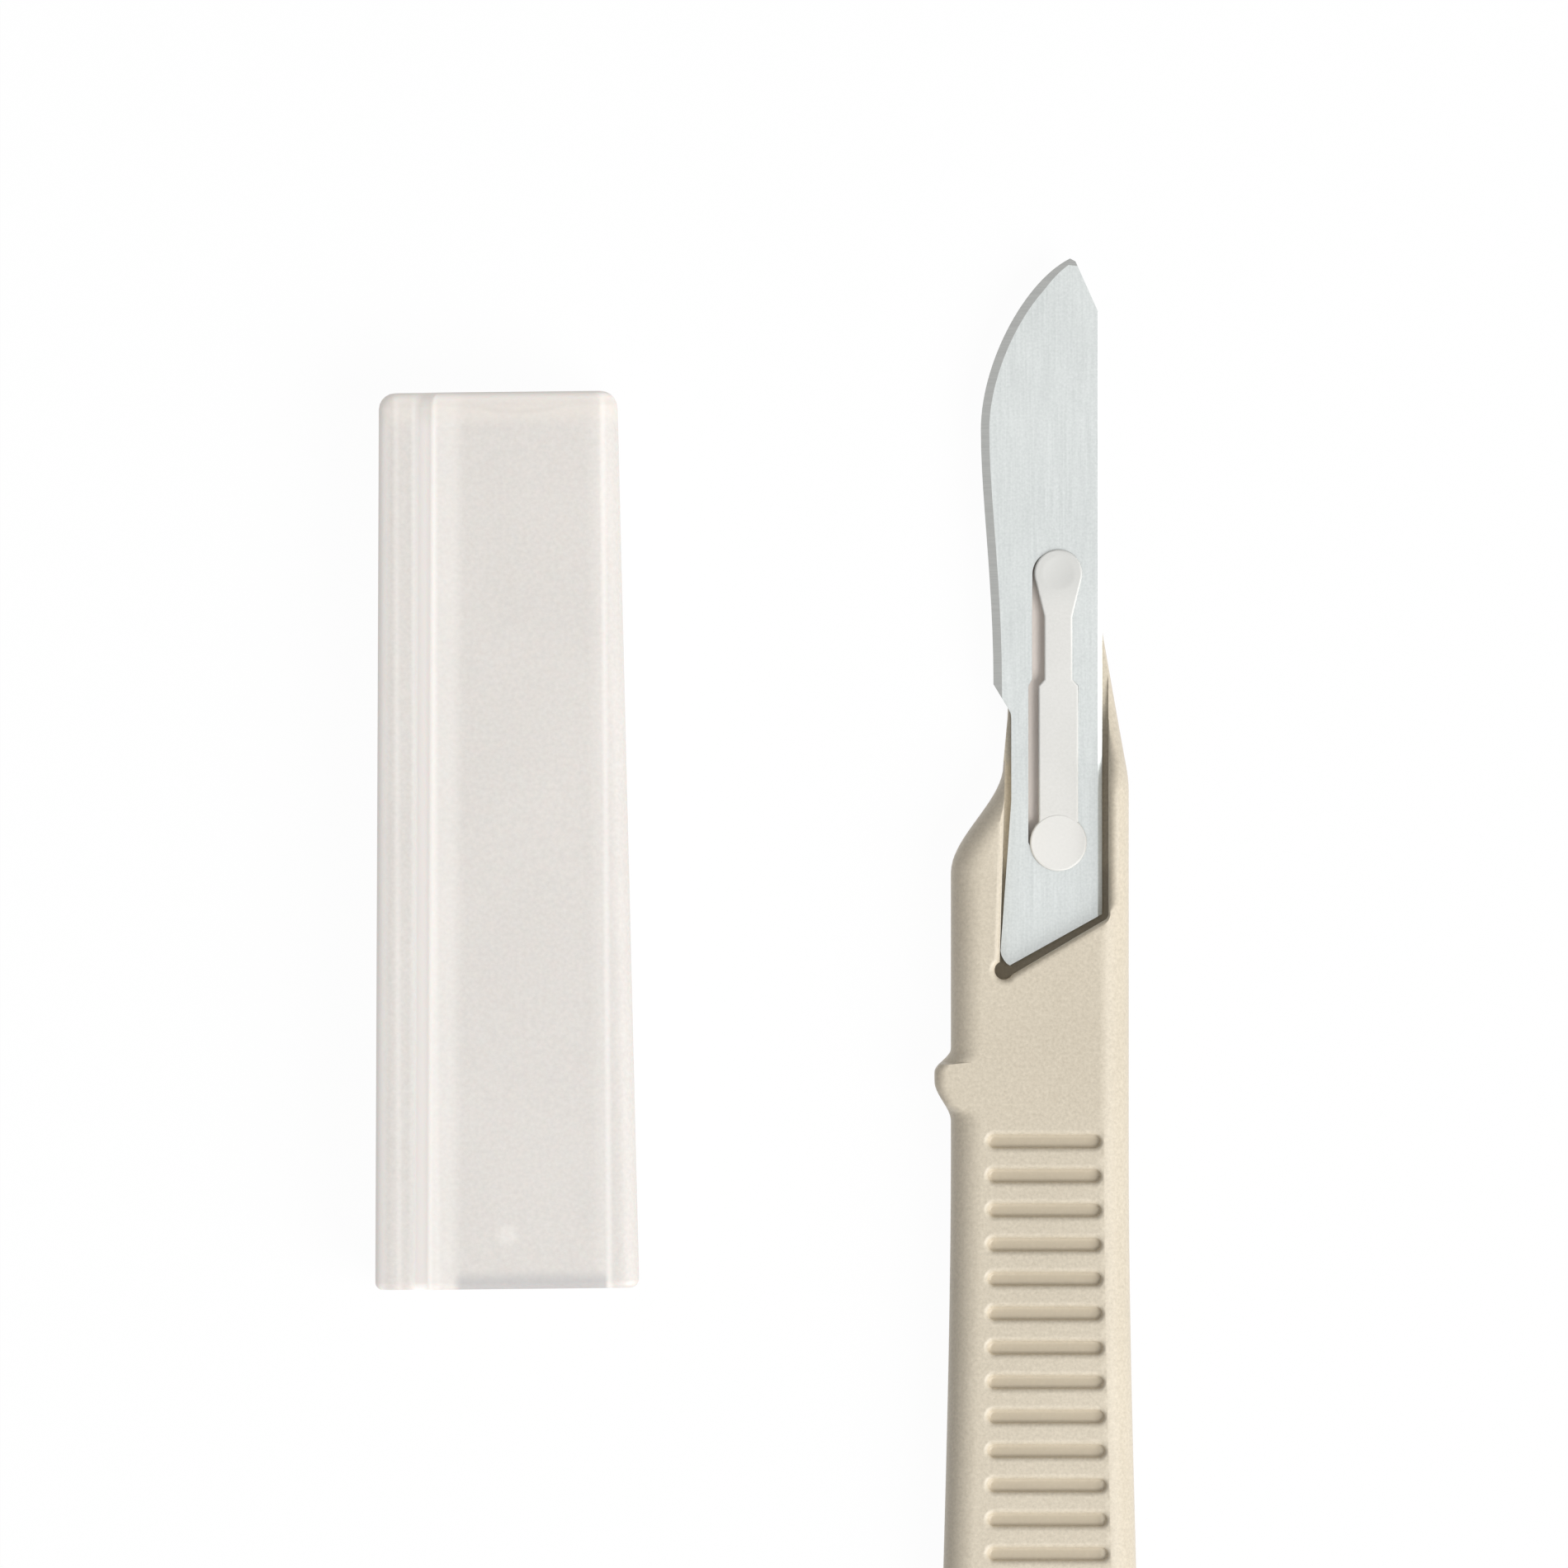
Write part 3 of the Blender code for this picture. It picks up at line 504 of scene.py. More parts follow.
# The round relief in the pocket's left corner.
RELIEF_RADIUS = 0.55
RELIEF_SIDE_DISTANCE = 0.3
RELIEF_CORNER_DISTANCE = 0.75
relief_x = HEEL_LEFT_X - POCKET_SIDE_GAP + RELIEF_SIDE_DISTANCE
pocket_back = -HEEL_SLOPE * HEEL_CORNER_WIDTH - HEEL_GAP_LEFT * math.hypot(1, HEEL_SLOPE)
relief_y = pocket_back + RELIEF_CORNER_DISTANCE
lip_radius = RELIEF_RADIUS + POCKET_LIP_RADIUS
polygon("relief tool", circle_places(relief_x, relief_y, HANDLE_THICK + PAST_FACE, lip_radius, 40))
extrude(z=-PAST_FACE)
sink(lip_steps(POCKET_LIP_RADIUS, LIP_STEPS))
extrude(z=POCKET_LIP_RADIUS + SEAT_HEIGHT - HANDLE_THICK)
cut(handle, close_up())

# The grooves, one tool copied along both faces and fitted to the handle's width.
groove_left = -GROOVE_LEFT_WIDTH - GROOVE_LIP_RADIUS / 2
groove_right = right_side(GROOVE_FIRST) - GROOVE_RIGHT_GAP + GROOVE_LIP_RADIUS / 2
groove_middle = (groove_left + groove_right) / 2
top = HANDLE_THICK + PAST_FACE
corners = [
    (Vector((x, y, top)), GROOVE_HALF_WIDTH * GROOVE_ROUND_SHARE)
    for x, y in (
        (groove_left, -GROOVE_HALF_WIDTH),
        (groove_right, -GROOVE_HALF_WIDTH),
        (groove_right, GROOVE_HALF_WIDTH),
        (groove_left, GROOVE_HALF_WIDTH),
    )
]
rounded_polygon("groove tool", corners, 8)
extrude(z=-PAST_FACE)
hollow_turns = evenly(GROOVE_WALL_ANGLE, GROOVE_FLOOR_ANGLE, 6)
hollow_depth = GROOVE_DEPTH - GROOVE_LIP_RADIUS
hollow_steps = [
    (GROOVE_FLOOR_RADIUS * (math.cos(a) - math.cos(b)), hollow_depth * (math.sin(b) - math.sin(a)))
    for a, b in zip(hollow_turns, hollow_turns[1:])
]
sink(lip_steps(GROOVE_LIP_RADIUS, LIP_STEPS) + hollow_steps)
groove = close_up()
tools = []
for i in range(GROOVE_COUNT):
    y = GROOVE_FIRST - i * GROOVE_PITCH
    longer = right_side(y) - right_side(GROOVE_FIRST)
    for face_turn in (0.0, math.pi):
        pick(groove)
        bpy.ops.object.duplicate()
        tool = bpy.context.object
        bpy.ops.object.mode_set(mode="EDIT")
        choose("VERT", lambda vertex: vertex.co.x > groove_middle)
        bpy.ops.transform.translate(value=(longer, 0, 0))
        bpy.ops.mesh.select_all(action="SELECT")
        middle = (0, 0, HANDLE_THICK / 2)
        bpy.ops.transform.rotate(value=face_turn, orient_axis="X", center_override=middle)
        bpy.ops.transform.translate(value=(0, y, 0))
        bpy.ops.object.mode_set(mode="OBJECT")
        tools.append(tool)
pick(*tools)
bpy.ops.object.join()
cut(handle, bpy.context.object)
bpy.data.objects.remove(groove)
lay(handle)


class Wire:
    """A socket of a material: sums on it add Math nodes, and node() adds any other node."""

    def __init__(self, tree, socket=None):
        self.tree = tree
        self.socket = socket

    def node(self, kind, inputs=None, output=0, **settings):
        made = self.tree.nodes.new(kind)
        for name, value in settings.items():
            setattr(made, name, value)
        for name, value in (inputs or {}).items():
            if isinstance(value, Wire):
                self.tree.links.new(value.socket, made.inputs[name])
            else:
                made.inputs[name].default_value = value
        return Wire(self.tree, made.outputs[output])

    def maths(self, operation, first, second):
        return self.node("ShaderNodeMath", {0: first, 1: second}, operation=operation)

    def __add__(self, other):
        return self.maths("ADD", self, other)

    def __sub__(self, other):
        return self.maths("SUBTRACT", self, other)

    def __rsub__(self, other):
        return self.maths("SUBTRACT", other, self)

    def __mul__(self, other):
        return self.maths("MULTIPLY", self, other)

    __radd__ = __add__
    __rmul__ = __mul__

    def size(self):
        """The value without its sign."""
        return self.maths("ABSOLUTE", self, 0.0)

    def axes(self):
        """The X, Y and Z of a vector."""
        split = self.node("ShaderNodeSeparateXYZ", {"Vector": self}).socket.node
        return [Wire(self.tree, output) for output in split.outputs]

    def distance(self, place):
        """How far a vector is from a place."""
        return self.node("ShaderNodeVectorMath", {0: self, 1: place}, output=1, operation="DISTANCE")

    def noise(self, scale, detail=2.0, roughness=0.5):
        """Noise in the space of a vector."""
        inputs = {"Vector": self, "Scale": scale, "Detail": detail, "Roughness": roughness}
        return self.node("ShaderNodeTexNoise", inputs)

    def bump(self, strength, distance, **more):
        """The normal of a surface with this relief."""
        inputs = {"Height": self, "Strength": strength, "Distance": distance, **more}
        return self.node("ShaderNodeBump", inputs)

    def steps(self, low, high):
        """0 below low, 1 above high, and smooth between them."""
        return self.node(
            "ShaderNodeMapRange",
            {"Value": self, "From Min": low, "From Max": high},
            interpolation_type="SMOOTHSTEP",
        )

    def mix(self, colour_at_0, colour_at_1):
        """A colour mixed by this value."""
        ends = [end if isinstance(end, Wire) else (*end, 1.0) for end in (colour_at_0, colour_at_1)]
        return self.node("ShaderNodeMix", {0: self, 6: ends[0], 7: ends[1]}, output=2, data_type="RGBA")


def new_finish(name, **constants):
    """A material, its object coordinates and its shader."""
    material = bpy.data.materials.new(name)
    material.use_nodes = True
    shader = material.node_tree.nodes["Principled BSDF"]
    for key, value in constants.items():
        shader.inputs[key.replace("_", " ")].default_value = value
    place = Wire(material.node_tree).node("ShaderNodeTexCoord", output="Object")
    return material, place, shader


def plug(shader, **wires):
    for key, wire in wires.items():
        wire.tree.links.new(wire.socket, shader.inputs[key.replace("_", " ")])


def wear(piece, *finishes):
    """Gives a piece these materials and no other."""
    piece.data.materials.clear()
    for finish in finishes:
        piece.data.materials.append(finish)


# The skin's grain, with painted shade in the grooves and in the gap behind the heel, and painted light
# on the seat seen through the slot.
beige, place, shader = new_finish("beige moulded plastic", IOR=1.5)
skin = place.noise(5200, 3.0, 0.6)
flow = place.noise(90)
specks = place.noise(2600, 1.0).steps(0.62, 0.75)
sides, along, height = place.axes()
from_axis = (sides - SCALPEL_AXIS_X * MM).size()
from_key = (sides - (SCALPEL_AXIS_X + KEY_X) * MM).size()
above_middle = height - HANDLE_THICK / 2 * MM
from_middle = above_middle.size()
ahead_of_heel = along.steps((HEEL_Y + DISC_Y - 2.0) * MM, (HEEL_Y + DISC_Y - 1.0) * MM)
gripped = 1 - along.steps((HEEL_Y + GROOVE_FIRST + 0.9) * MM, (HEEL_Y + GROOVE_FIRST + 1.0) * MM)
painted_groove_shade = (1 - from_middle.steps(1.76 * MM, 1.9 * MM)) * (1 - from_axis.steps(3.5 * MM, 3.75 * MM))
painted_slot_light = (1 - from_key.steps(2.0 * MM, 2.2 * MM)) * above_middle.steps(-0.6 * MM, -0.5 * MM)
painted_heel_gap_shade = (1 - from_middle.steps(1.2 * MM, 1.9 * MM)) * (1 - from_axis.steps(4.1 * MM, 4.4 * MM))
colour = (0.25 * flow + 0.75 * skin).mix((0.46, 0.40, 0.30), (0.91, 0.82, 0.67))
# Painted shade: the grooves are darkened in colour.
colour = (painted_groove_shade * gripped * 0.8).mix(colour, (0.50, 0.43, 0.32))
colour = (specks * 0.25).mix(colour, (0.60, 0.52, 0.40))
# Painted light: the seat seen through the slot is made paler.
colour = (painted_slot_light * ahead_of_heel * 0.8).mix(colour, (0.88, 0.79, 0.75))
# Painted shade: the gap behind the blade's heel is darkened.
colour = (painted_heel_gap_shade * (1 - ahead_of_heel) * (1 - gripped) * 0.35).mix(colour, (0.25, 0.22, 0.16))
plug(shader, Base_Color=colour, Roughness=0.34 + skin * 0.16, Normal=skin.bump(0.35, 0.00002))
wear(handle, beige)
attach(handle, "root")
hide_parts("handle")

# Blade: stainless strip, stamped to its outline with a key-shaped slot, and ground from both faces along
# the cutting edge; the spine has a narrow bevel. It lies in the pocket and is held down by the key.
BLADE_LOW = SEAT_HEIGHT + SEAT_GAP
BLADE_THICK = 0.4
BLADE_TOP = BLADE_LOW + BLADE_THICK
BLADE_WIDTH = 7.2
TIP_DISTANCE = 1.9
TIP_ANGLE = math.radians(26.4)
TIP_CURVE_LENGTH = 3.0
TIP_BLUNT_WIDTH = 0.32
TIP_BLUNT_LENGTH = 0.17
POINT_SLOPE_LENGTH = 3.7
BELLY_LENGTH = 10.2
BELLY_CURVE_LENGTH = 4.0
EDGE_END = 16.7
EDGE_END_WIDTH = 6.45
EDGE_END_CURVE_LENGTH = 6.1
EDGE_RIGHT_X = 2.1
STEP_RADIUS = 0.5
TANG_FRONT = 14.95
TANG_STRAIGHT_END = 9.8
HEEL_CORNER_LENGTH = 0.85
HEEL_CORNER_TURN = ((0.06, 0.58), (0.21, 0.3), (0.38, 0.1))
GROUND_BAND_WIDTH = 0.5
BAND_DROP_OF_WIDTH = 0.37
SPINE_BEVEL_WIDTH = 0.25
SPINE_DROP_OF_WIDTH = 0.24

tip = Vector((SPINE_X - TIP_DISTANCE, BLADE_LENGTH, 0))
tip_handle = tip - TIP_CURVE_LENGTH * Vector((math.cos(TIP_ANGLE), math.sin(TIP_ANGLE), 0))
belly = Vector((SPINE_X - BLADE_WIDTH, BLADE_LENGTH - BELLY_LENGTH, 0))
belly_reach = Vector((0, BELLY_CURVE_LENGTH, 0))
edge_end = Vector((SPINE_X - EDGE_END_WIDTH, EDGE_END, 0))
edge_handle = edge_end + Vector((0, EDGE_END_CURVE_LENGTH, 0))
tang = Vector((TANG_LEFT_X, TANG_FRONT, 0))
turn_start = tang + (edge_end - tang).normalized() * STEP_RADIUS
turn_end = tang - Vector((0, STEP_RADIUS, 0))
blade_places = [tip + Vector((TIP_BLUNT_WIDTH, -TIP_BLUNT_LENGTH, 0))]
blade_places += interpolate_bezier(tip, tip_handle, belly + belly_reach, belly, 30)
blade_places += interpolate_bezier(belly, belly - belly_reach, edge_handle, edge_end, 12)[1:]
blade_places += interpolate_bezier(turn_start, tang, tang, turn_end, 6)
blade_places.append(Vector((TANG_LEFT_X, TANG_STRAIGHT_END, 0)))
blade_places.append(Vector((HEEL_LEFT_X, HEEL_CORNER_LENGTH, 0)))
blade_places += [Vector((HEEL_LEFT_X + x, y, 0)) for x, y in HEEL_CORNER_TURN]
blade_places.append(Vector((HEEL_LEFT_X + HEEL_CORNER_WIDTH, 0, 0)))
blade_places.append(Vector((SPINE_X, HEEL_SLANT_LENGTH, 0)))
blade_places.append(Vector((SPINE_X, BLADE_LENGTH - POINT_SLOPE_LENGTH, 0)))
polygon("scalpel_blade", blade_places)
extrude(z=BLADE_THICK / SPINE_DROP_OF_WIDTH)


def middle_of(edge):
    return (edge.verts[0].co + edge.verts[1].co) / 2


def lies_level(edge):
    return abs(edge.verts[0].co.z - edge.verts[1].co.z) < SAME_PLACE


def is_cutting(edge):
    middle = middle_of(edge)
    return lies_level(edge) and middle.x < EDGE_RIGHT_X and middle.y > edge_end.y


def flatten(share):
    """Flattens the blade, so that a bevel of equal sides becomes a shallow one."""
    bpy.ops.mesh.select_all(action="SELECT")
    bpy.ops.transform.resize(value=(1, 1, share), center_override=(0, 0, 0))


choose("EDGE", lambda edge: lies_level(edge) and middle_of(edge).x > SPINE_X - 0.01)
bpy.ops.mesh.bevel(offset=SPINE_BEVEL_WIDTH, segments=1, affect="EDGES", clamp_overlap=False)
flatten(SPINE_DROP_OF_WIDTH / BAND_DROP_OF_WIDTH)
choose("EDGE", is_cutting)
bpy.ops.mesh.bevel(offset=GROUND_BAND_WIDTH, segments=1, affect="EDGES", clamp_overlap=False)
flatten(BAND_DROP_OF_WIDTH)

# The ground band narrows over its last millimetre and stops just under the blunted tip.
BAND_STOP_DISTANCE = 0.812
BAND_STOP_SHIFT = 0.5
BAND_STOP_REACH = 0.05
BAND_TAPER_START = 40.2
BAND_TAPER_LENGTH = 1.24
BAND_TAPER_RIGHT_X = 1.9
BAND_TAPER = 0.2 * Vector((-0.445, 0.896, 0))

slope = (blade_places[-1] - blade_places[0]).normalized()
band_stop = blade_places[0] + slope * BAND_STOP_DISTANCE
narrowing = []
for vertex in bmesh.from_edit_mesh(bpy.context.edit_object.data).verts:
    on_face = min(vertex.co.z, BLADE_THICK - vertex.co.z) < SAME_PLACE
    flat = Vector((vertex.co.x, vertex.co.y, 0))
    tapered = vertex.co.y - BAND_TAPER_START
    if on_face and (flat - band_stop).length < BAND_STOP_REACH:
        narrowing.append((vertex.index, slope * -BAND_STOP_SHIFT))
    elif on_face and tapered > 0 and vertex.co.x < BAND_TAPER_RIGHT_X:
        narrowing.append((vertex.index, BAND_TAPER * tapered / BAND_TAPER_LENGTH))
for index, way in narrowing:
    choose("VERT", lambda vertex: vertex.index == index)
    bpy.ops.transform.translate(value=way)
bpy.ops.mesh.select_all(action="SELECT")
bpy.ops.transform.translate(value=(0, 0, BLADE_LOW))
blade = close_up()

# The key-shaped slot.
SLOT_NECK_LEFT_X = -0.46
SLOT_NECK_RIGHT_X = 1.93
SLOT_STEM_LEFT_X = -0.68
SLOT_STEM_RIGHT_X = 2.3
SLOT_BACK_LEFT = (0.0, DISC_Y - 1.3)
SLOT_BACK_RIGHT = (2.2, DISC_Y - 1.0)
SLOT_HEAD = (0.92, HEAD_Y - 0.05)
SLOT_HEAD_RADIUS = 1.36
SLOT_HEAD_END = math.pi + 0.1

slot_sides = [
    (SLOT_NECK_LEFT_X, NECK_Y),
    (SLOT_NECK_LEFT_X, STEM_Y),
    (SLOT_STEM_LEFT_X, STEM_Y - STEM_STEP_LENGTH),
    (SLOT_STEM_LEFT_X, DISC_Y),
    SLOT_BACK_LEFT,
    SLOT_BACK_RIGHT,
    (SLOT_STEM_RIGHT_X, STEM_Y - STEM_STEP_LENGTH),
    (SLOT_NECK_RIGHT_X, STEM_Y),
    (SLOT_NECK_RIGHT_X, NECK_Y),
]
slot_z = BLADE_TOP + PAST_FACE
slot_places = [Vector((x, y, slot_z)) for x, y in slot_sides]
slot_places += circle_places(*SLOT_HEAD, slot_z, SLOT_HEAD_RADIUS, 24, 0, SLOT_HEAD_END)
polygon("slot tool", slot_places)
extrude(z=-BLADE_THICK - 2 * PAST_FACE)
cut(blade, close_up())
lay(blade, smooth_degrees=12)

# Satin steel, its grain along the blade, and steel ground across its edge for the band.
steel, place, shader = new_finish("satin steel", Metallic=1.0)
lengthways = place.node("ShaderNodeMapping", {"Vector": place, "Scale": (9000, 260, 900)})
grain = lengthways.noise(1.0, 3.0)
cloud = place.noise(220, 3.0)
matt = place.noise(7000)
colour = (0.3 * grain + 0.2 * cloud + 0.5 * matt).mix((0.43, 0.459, 0.453), (0.772, 0.796, 0.786))
plug(shader, Base_Color=colour, Roughness=0.3 + grain * 0.1, Normal=grain.bump(0.2, 0.000005))

ground, place, shader = new_finish("ground edge", Metallic=1.0)
crossways = place.node("ShaderNodeMapping", {"Vector": place, "Scale": (700, 16000, 700)})
grain = crossways.noise(1.0, 3.0, 0.6)
# The band's darker colour is partly its rougher cross grind and partly painted shade for the darker
# surroundings that it reflects.
colour = grain.mix((0.34, 0.345, 0.335), (0.50, 0.505, 0.49))
plug(shader, Base_Color=colour, Roughness=0.36 + grain * 0.14, Normal=grain.bump(0.3, 0.000006))

wear(blade, steel, ground)
band_right = (SCALPEL_AXIS_X + EDGE_RIGHT_X + 0.1) * MM
for face in blade.data.polygons:
    tilted = 0.8 < abs(face.normal.z) < 0.98
    face.material_index = 1 if tilted and face.center.x < band_right else 0
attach(blade, "root")
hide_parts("blade")

# Key: the off-white stud that the blade snaps over, moulded in a second plastic. Its shank goes through
# the slot into the nose; above the blade are a dished pear head, a neck, a stem and a round disc.
KEY_LOW = BLADE_TOP + 0.03
KEY_TOP = BLADE_TOP + 0.25
DISC_TOP = BLADE_TOP + 0.28
DISC_RADIUS = 1.69
KEY_EDGE_RADIUS = 0.12
DISH_RADIUS = 1.07
DISH_FLOOR_RADIUS = 0.12
DISH_SPHERE_RADIUS = 9.0


def raised(name, places, high):
    """A plate with the given outline and a rounded upper rim."""
    polygon(name, places)
    extrude(z=high - places[0].z)
    choose("EDGE", lambda edge: lies_level(edge) and middle_of(edge).z > high - SAME_PLACE)
    bpy.ops.mesh.bevel(offset=KEY_EDGE_RADIUS, segments=4, affect="EDGES", clamp_overlap=False)
    return close_up()


key_rim = key_places(KEY_LOW, HEAD_RADIUS, NECK_HALF_WIDTH, STEM_HALF_WIDTH, STEM_HALF_WIDTH)
key = raised("scalpel_key", key_rim, KEY_TOP)
disc = raised("disc", circle_places(KEY_X, DISC_Y, KEY_LOW, DISC_RADIUS, 64), DISC_TOP)
cut(key, disc, "UNION")
polygon("shank", shank_places(SEAT_HEIGHT - KEY_ROOT_DEPTH))
extrude(z=KEY_TOP - KEY_EDGE_RADIUS - SEAT_HEIGHT + KEY_ROOT_DEPTH)
cut(key, close_up(), "UNION")
polygon("dish tool", circle_places(KEY_X, HEAD_Y, KEY_TOP + PAST_FACE, DISH_RADIUS, 48))
extrude(z=-PAST_FACE)
spans = evenly(DISH_RADIUS, DISH_FLOOR_RADIUS, 5)
depths = [math.sqrt(DISH_SPHERE_RADIUS**2 - span**2) for span in spans]
sink([(a - b, deep - less) for a, b, less, deep in zip(spans, spans[1:], depths, depths[1:])])
cut(key, close_up())
lay(key)

# The key's smooth skin, with painted shade on the head and painted light on the disc.
white, place, shader = new_finish("white key plastic", IOR=1.5)
skin = place.noise(6000)
painted_head_shade = place.axes()[1].steps((HEEL_Y + NECK_Y) * MM, (HEEL_Y + HEAD_Y) * MM)
disc_centre = ((SCALPEL_AXIS_X + KEY_X) * MM, (HEEL_Y + DISC_Y) * MM, KEY_TOP * MM)
from_disc = place.distance(disc_centre)
painted_disc_light = 1 - from_disc.steps((DISC_RADIUS - 0.15) * MM, (DISC_RADIUS + 0.05) * MM)
colour = (0.4 * place.noise(300) + 0.6 * skin).mix((0.72, 0.715, 0.68), (0.89, 0.88, 0.85))
# Painted shade on the head.
colour = (painted_head_shade * 0.7).mix(colour, (0.68, 0.685, 0.66))
# Painted light on the disc.
colour = (painted_disc_light * 0.4).mix(colour, (0.92, 0.91, 0.88))
plug(shader, Base_Color=colour, Roughness=0.4 + skin * 0.1, Normal=skin.bump(0.2, 0.00001))
wear(key, white)
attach(key, "root")
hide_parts("blade_key")

# Cover: a thin-walled sleeve of milky polypropylene, moulded over a core and closed at one end.
# The main box holds the blade; the lower channel along its left side lets the handle's nub in.
COVER_X = SCALPEL_AXIS_X - 31.6
COVER_Y = HEEL_Y - 19.1
COVER_TURN = math.radians(0.6)
COVER_LENGTH = 53.1
COVER_MOUTH_WIDTH = 15.6
COVER_MOUTH_HEIGHT = 8.0
COVER_END_WIDTH = 14.1
COVER_END_HEIGHT = 7.0
COVER_WALL = 0.9
COVER_END_WALL = 1.1
COVER_RADIUS = 1.3
COVER_END_RADIUS = 0.95
COVER_INNER_RADIUS = 0.4
COVER_LEAST_RADIUS = 0.12
COVER_LIP_RADIUS = 0.45
COVER_LEAD_IN_WALL = 0.65
COVER_LEAD_IN_LENGTH = 1.2
CHANNEL_WIDTH = 2.3
CHANNEL_RADIUS = 1.15
CHANNEL_DROP_HEIGHT = 0.8
SHOULDER_SLANT_WIDTH = 0.9
SHOULDER_RADIUS = 0.45
COVER_ARC_STEPS = 8


def cover_section(y, depth):
    """The sleeve's section at y, drawn in by a depth, as (y, corners)."""
    share = y / COVER_LENGTH
    half = between(COVER_MOUTH_WIDTH, COVER_END_WIDTH, share) / 2
    high = between(COVER_MOUTH_HEIGHT, COVER_END_HEIGHT, share)
    wall_x = CHANNEL_WIDTH - half
    top_x = wall_x + SHOULDER_SLANT_WIDTH
    step = high - CHANNEL_DROP_HEIGHT
    lean = depth * math.tan(math.atan2(CHANNEL_DROP_HEIGHT, SHOULDER_SLANT_WIDTH) / 2)
    radii = (COVER_RADIUS, CHANNEL_RADIUS, SHOULDER_RADIUS)
    box, channel, shoulder = (max(radius - depth, COVER_LEAST_RADIUS) for radius in radii)
    hollow = SHOULDER_RADIUS + depth
    corners = [
        (half - depth, depth, box),
        (half - depth, high - depth, box),
        (top_x + lean, high - depth, shoulder),
        (wall_x + lean, step - depth, hollow),
        (depth - half, step - depth, channel),
        (depth - half, CHANNEL_DROP_HEIGHT + depth, channel),
        (wall_x + lean, CHANNEL_DROP_HEIGHT + depth, hollow),
        (top_x + lean, depth, shoulder),
    ]
    return y, corners


def quarter_turn(radius):
    """How far the places of a quarter round lie behind the two faces that it joins."""
    turns = evenly(0, math.pi / 2, 5)
    return [(radius * (1 - math.cos(turn)), radius * (1 - math.sin(turn))) for turn in turns]


# The sections run from the closed end to the mouth on the outside, and back on the inside.
inner_end = COVER_LENGTH - COVER_END_WALL
sections = [cover_section(COVER_LENGTH - a, b) for a, b in quarter_turn(COVER_END_RADIUS)]
sections += [cover_section(y, 0) for y in evenly(sections[-1][0], COVER_LIP_RADIUS, 8)[1:]]
sections += [cover_section(b, a) for a, b in quarter_turn(COVER_LIP_RADIUS)[1:]]
sections.append(cover_section(0, COVER_LEAD_IN_WALL))
sections.append(cover_section(COVER_LEAD_IN_LENGTH, COVER_WALL))
sections += [cover_section(inner_end - b, COVER_WALL + a) for a, b in quarter_turn(COVER_INNER_RADIUS)]
end_y, end_corners = sections[0]
end_places = [(Vector((x, end_y, z)), radius) for x, z, radius in end_corners]
rounded_polygon("scalpel_cover", end_places, COVER_ARC_STEPS)
draw_out(sections)
cover = close_up()
lay(cover, COVER_X, COVER_Y, COVER_TURN, smooth_degrees=40)

# Milky plastic in the cover's own millimetres: painted light on the slanted shoulder, on the flat strip
# next to it, along the left side and closed end, and in a band on the right; painted highlight lines
# along the sides; painted shade in an arc near the closed end and inside the mouth; a warmer tone at the
# closed end and a paler gate mark.
LINE_HALF_WIDTH = 0.28

# The emission is a painted glow that stands in for light passing through the milky wall.
milky, place, shader = new_finish(
    "milky polypropylene",
    IOR=1.49,
    Subsurface_Weight=0.3,
    Subsurface_Scale=0.001,
    Emission_Color=(0.80, 0.765, 0.725, 1.0),
    Emission_Strength=0.4,
)
own = place.node(
    "ShaderNodeMapping",
    {"Vector": place, "Location": (COVER_X * MM, COVER_Y * MM, 0), "Rotation": (0, 0, COVER_TURN)},
    vector_type="TEXTURE",
)
flat = own.node("ShaderNodeVectorMath", {0: own, 1: (1 / MM, 1 / MM, 0.0)}, operation="MULTIPLY")
across, along = flat.axes()[:2]
narrower = along * ((COVER_MOUTH_WIDTH - COVER_END_WIDTH) / COVER_LENGTH / 2)
from_left = across + COVER_MOUTH_WIDTH / 2 - narrower
from_right = COVER_MOUTH_WIDTH / 2 - narrower - across


def stripe(distance, middle, half_width):
    """1 in the middle of a soft stripe, 0 outside it."""
    rising = distance.steps(middle - half_width, middle)
    return rising * (1 - distance.steps(middle, middle + half_width))


# Painted light on the slanted shoulder, which faces away from the soft box.
painted_shoulder_light = stripe(from_left, CHANNEL_WIDTH + SHOULDER_SLANT_WIDTH / 2, 0.9)
# Painted light on the flat strip next to the shoulder.
painted_ledge_light = from_left.steps(3.1, 3.3) * (1 - from_left.steps(4.3, 5.3))
# Painted light along the shaded left side and at the closed end.
edges = 1 - from_left.steps(0.2, 0.85) * (1 - along.steps(COVER_LENGTH - 0.8, COVER_LENGTH - 0.2))
# Painted shade: an arc where the cavity's end shows through the wall.
painted_end_arc_shade = stripe(flat.distance((1.2, 60.1, 0.0)), 8.2, 0.25) * (1 - along.steps(52.0, 52.4))
gate_mark = 1 - flat.distance((0.1, 3.2, 0.0)).steps(0.2, 0.9)
left_lines = from_left + along * (0.43 / COVER_LENGTH)
right_line = from_right + along * (0.88 / COVER_LENGTH)
# Painted highlights: thin pale lines along both sides.
first, second, third = (stripe(left_lines, middle, LINE_HALF_WIDTH) for middle in (1.44, 2.5, 3.7))
lines = first + second + third + stripe(right_line, 1.72, LINE_HALF_WIDTH) * 1.7
# Painted light in a band near the right side, which faces the soft box.
painted_right_band_light = stripe(right_line, 1.9, 1.0)
panel = left_lines.steps(4.6, 5.2) * right_line.steps(1.7, 2.0)
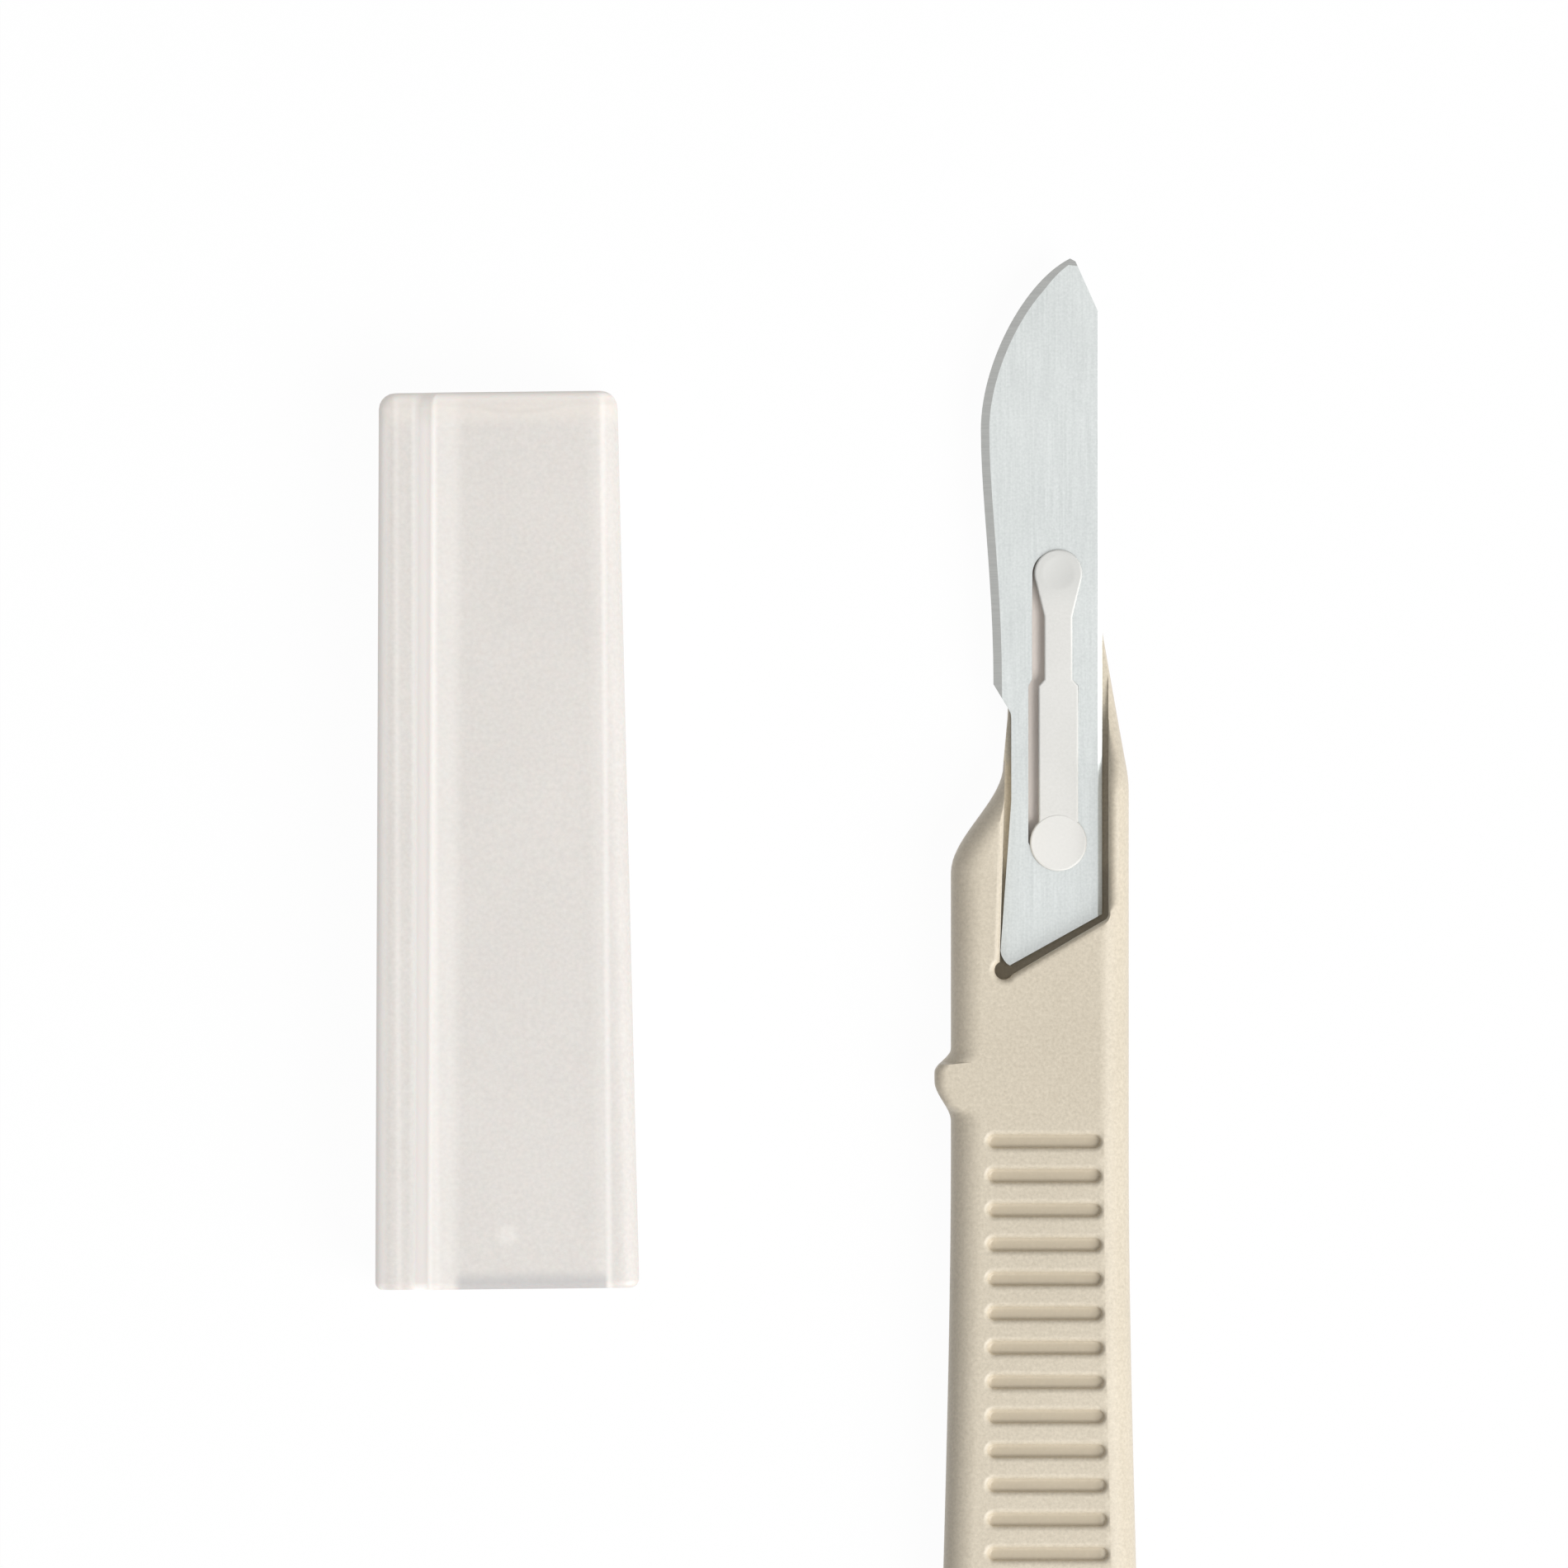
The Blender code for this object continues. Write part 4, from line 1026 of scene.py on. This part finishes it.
# Painted shade inside the mouth.
mouth = (1 - along.steps(0.25, 1.3)) * panel
closed = along.steps(COVER_LENGTH - 2.3, COVER_LENGTH - 1.2)
cloud = 0.3 * place.noise(150, 3.0) + 0.7 * place.noise(4200)
colour = cloud.mix((0.355, 0.337, 0.32), (0.57, 0.547, 0.52))
paler = painted_shoulder_light * 0.8 + painted_ledge_light * 0.2 + edges * 0.6 + painted_right_band_light * 0.12 + gate_mark * 0.16
colour = paler.mix(colour, (0.95, 0.93, 0.90))
colour = (painted_end_arc_shade * 0.4).mix(colour, (0.30, 0.28, 0.26))
colour = (mouth * 0.6).mix(colour, (0.16, 0.175, 0.20))
colour = (closed * 0.4).mix(colour, (0.62, 0.57, 0.51))
colour = (lines * 0.15).mix(colour, (0.95, 0.94, 0.92))

# Light spreads in the milky wall, so that its normals lean upwards.
skin = place.noise(2500, 3.0)
facing = place.node("ShaderNodeNewGeometry", output="Normal")
spread = facing.node("ShaderNodeVectorMath", {0: facing, 1: (0.0, 0.0, 0.85)}, operation="ADD")
spread = spread.node("ShaderNodeVectorMath", {0: spread}, operation="NORMALIZE")
relief = skin.bump(0.15, 0.00002, Normal=spread)
plug(shader, Base_Color=colour, Roughness=0.3 + skin * 0.1, Normal=relief)
wear(cover, milky)
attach(cover, "root")
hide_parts("blade_cover")

# Studio: a white floor, soft light from all round, a soft box at the lower right, and a long lens
# straight above. Floor and sky are white where they are seen, and dimmer in the light that they give.
VIEW_CENTRE = Vector((1.43, 38.76, 3.0)) * MM
VIEW_WIDTH = 93.1 * MM
CAMERA_HEIGHT = 1.2
SENSOR_WIDTH = 36
WHITE = (1.0, 1.0, 1.0, 1.0)
FLOOR_SIZE = 3.0
FLOOR_HEIGHT = -0.00002
FLOOR_GREY = (0.62, 0.62, 0.62, 1.0)
FLOOR_GLOW = 0.965
AMBIENT = 0.3


def seen_in(tree):
    """1 where the camera sees the material, on its own, in a reflection or through another piece."""
    rays = Wire(tree).node("ShaderNodeLightPath").socket.node.outputs
    kinds = ("Is Camera Ray", "Is Glossy Ray", "Is Transmission Ray")
    straight, reflected, passed = (Wire(tree, rays[kind]) for kind in kinds)
    return straight + reflected + passed


bpy.ops.object.select_all(action="DESELECT")
bpy.ops.mesh.primitive_plane_add(size=FLOOR_SIZE, location=(0, 0, FLOOR_HEIGHT))
floor = bpy.context.object
floor.name = "floor"
paper = bpy.data.materials.new("white paper")
paper.use_nodes = True
tree = paper.node_tree
tree.nodes.remove(tree.nodes["Principled BSDF"])
seen = seen_in(tree)
dim = seen.node("ShaderNodeBsdfDiffuse", {"Color": FLOOR_GREY})
lit = seen.node("ShaderNodeBsdfDiffuse", {"Color": WHITE})
glow = seen.node("ShaderNodeEmission", {"Color": WHITE, "Strength": 1.0})
bright = seen.node("ShaderNodeMixShader", {0: FLOOR_GLOW, 1: lit, 2: glow})
mixed = seen.node("ShaderNodeMixShader", {0: seen, 1: dim, 2: bright})
tree.links.new(mixed.socket, tree.nodes["Material Output"].inputs["Surface"])
floor.data.materials.append(paper)

world = bpy.data.worlds.new("studio")
bpy.context.scene.world = world
world.use_nodes = True
background = world.node_tree.nodes["Background"]
background.inputs["Color"].default_value = WHITE
strength = AMBIENT + (1 - AMBIENT) * seen_in(world.node_tree)
world.node_tree.links.new(strength.socket, background.inputs["Strength"])


def lamp(name, direction, distance, size, share):
    """A square soft box that adds this share to a white surface facing it."""
    data = bpy.data.lights.new(name, "AREA")
    data.size = size
    data.energy = share * math.pi**2 * distance**2
    made = bpy.data.objects.new(name, data)
    toward = Vector(direction).normalized()
    made.location = VIEW_CENTRE + toward * distance
    made.rotation_euler = toward.to_track_quat("Z", "Y").to_euler()
    bpy.context.scene.collection.objects.link(made)


lamp("key soft box", (0.68, -0.45, 0.77), 1.6, 1.2, 1.1)

lens = bpy.data.cameras.new("long lens")
lens.sensor_width = SENSOR_WIDTH
lens.lens = SENSOR_WIDTH * CAMERA_HEIGHT / VIEW_WIDTH
lens.clip_start = 0.05
lens.clip_end = 20
camera = bpy.data.objects.new("camera", lens)
camera.location = VIEW_CENTRE + Vector((0, 0, CAMERA_HEIGHT))
bpy.context.scene.collection.objects.link(camera)
bpy.context.scene.camera = camera
bpy.context.scene.view_settings.view_transform = "Standard"
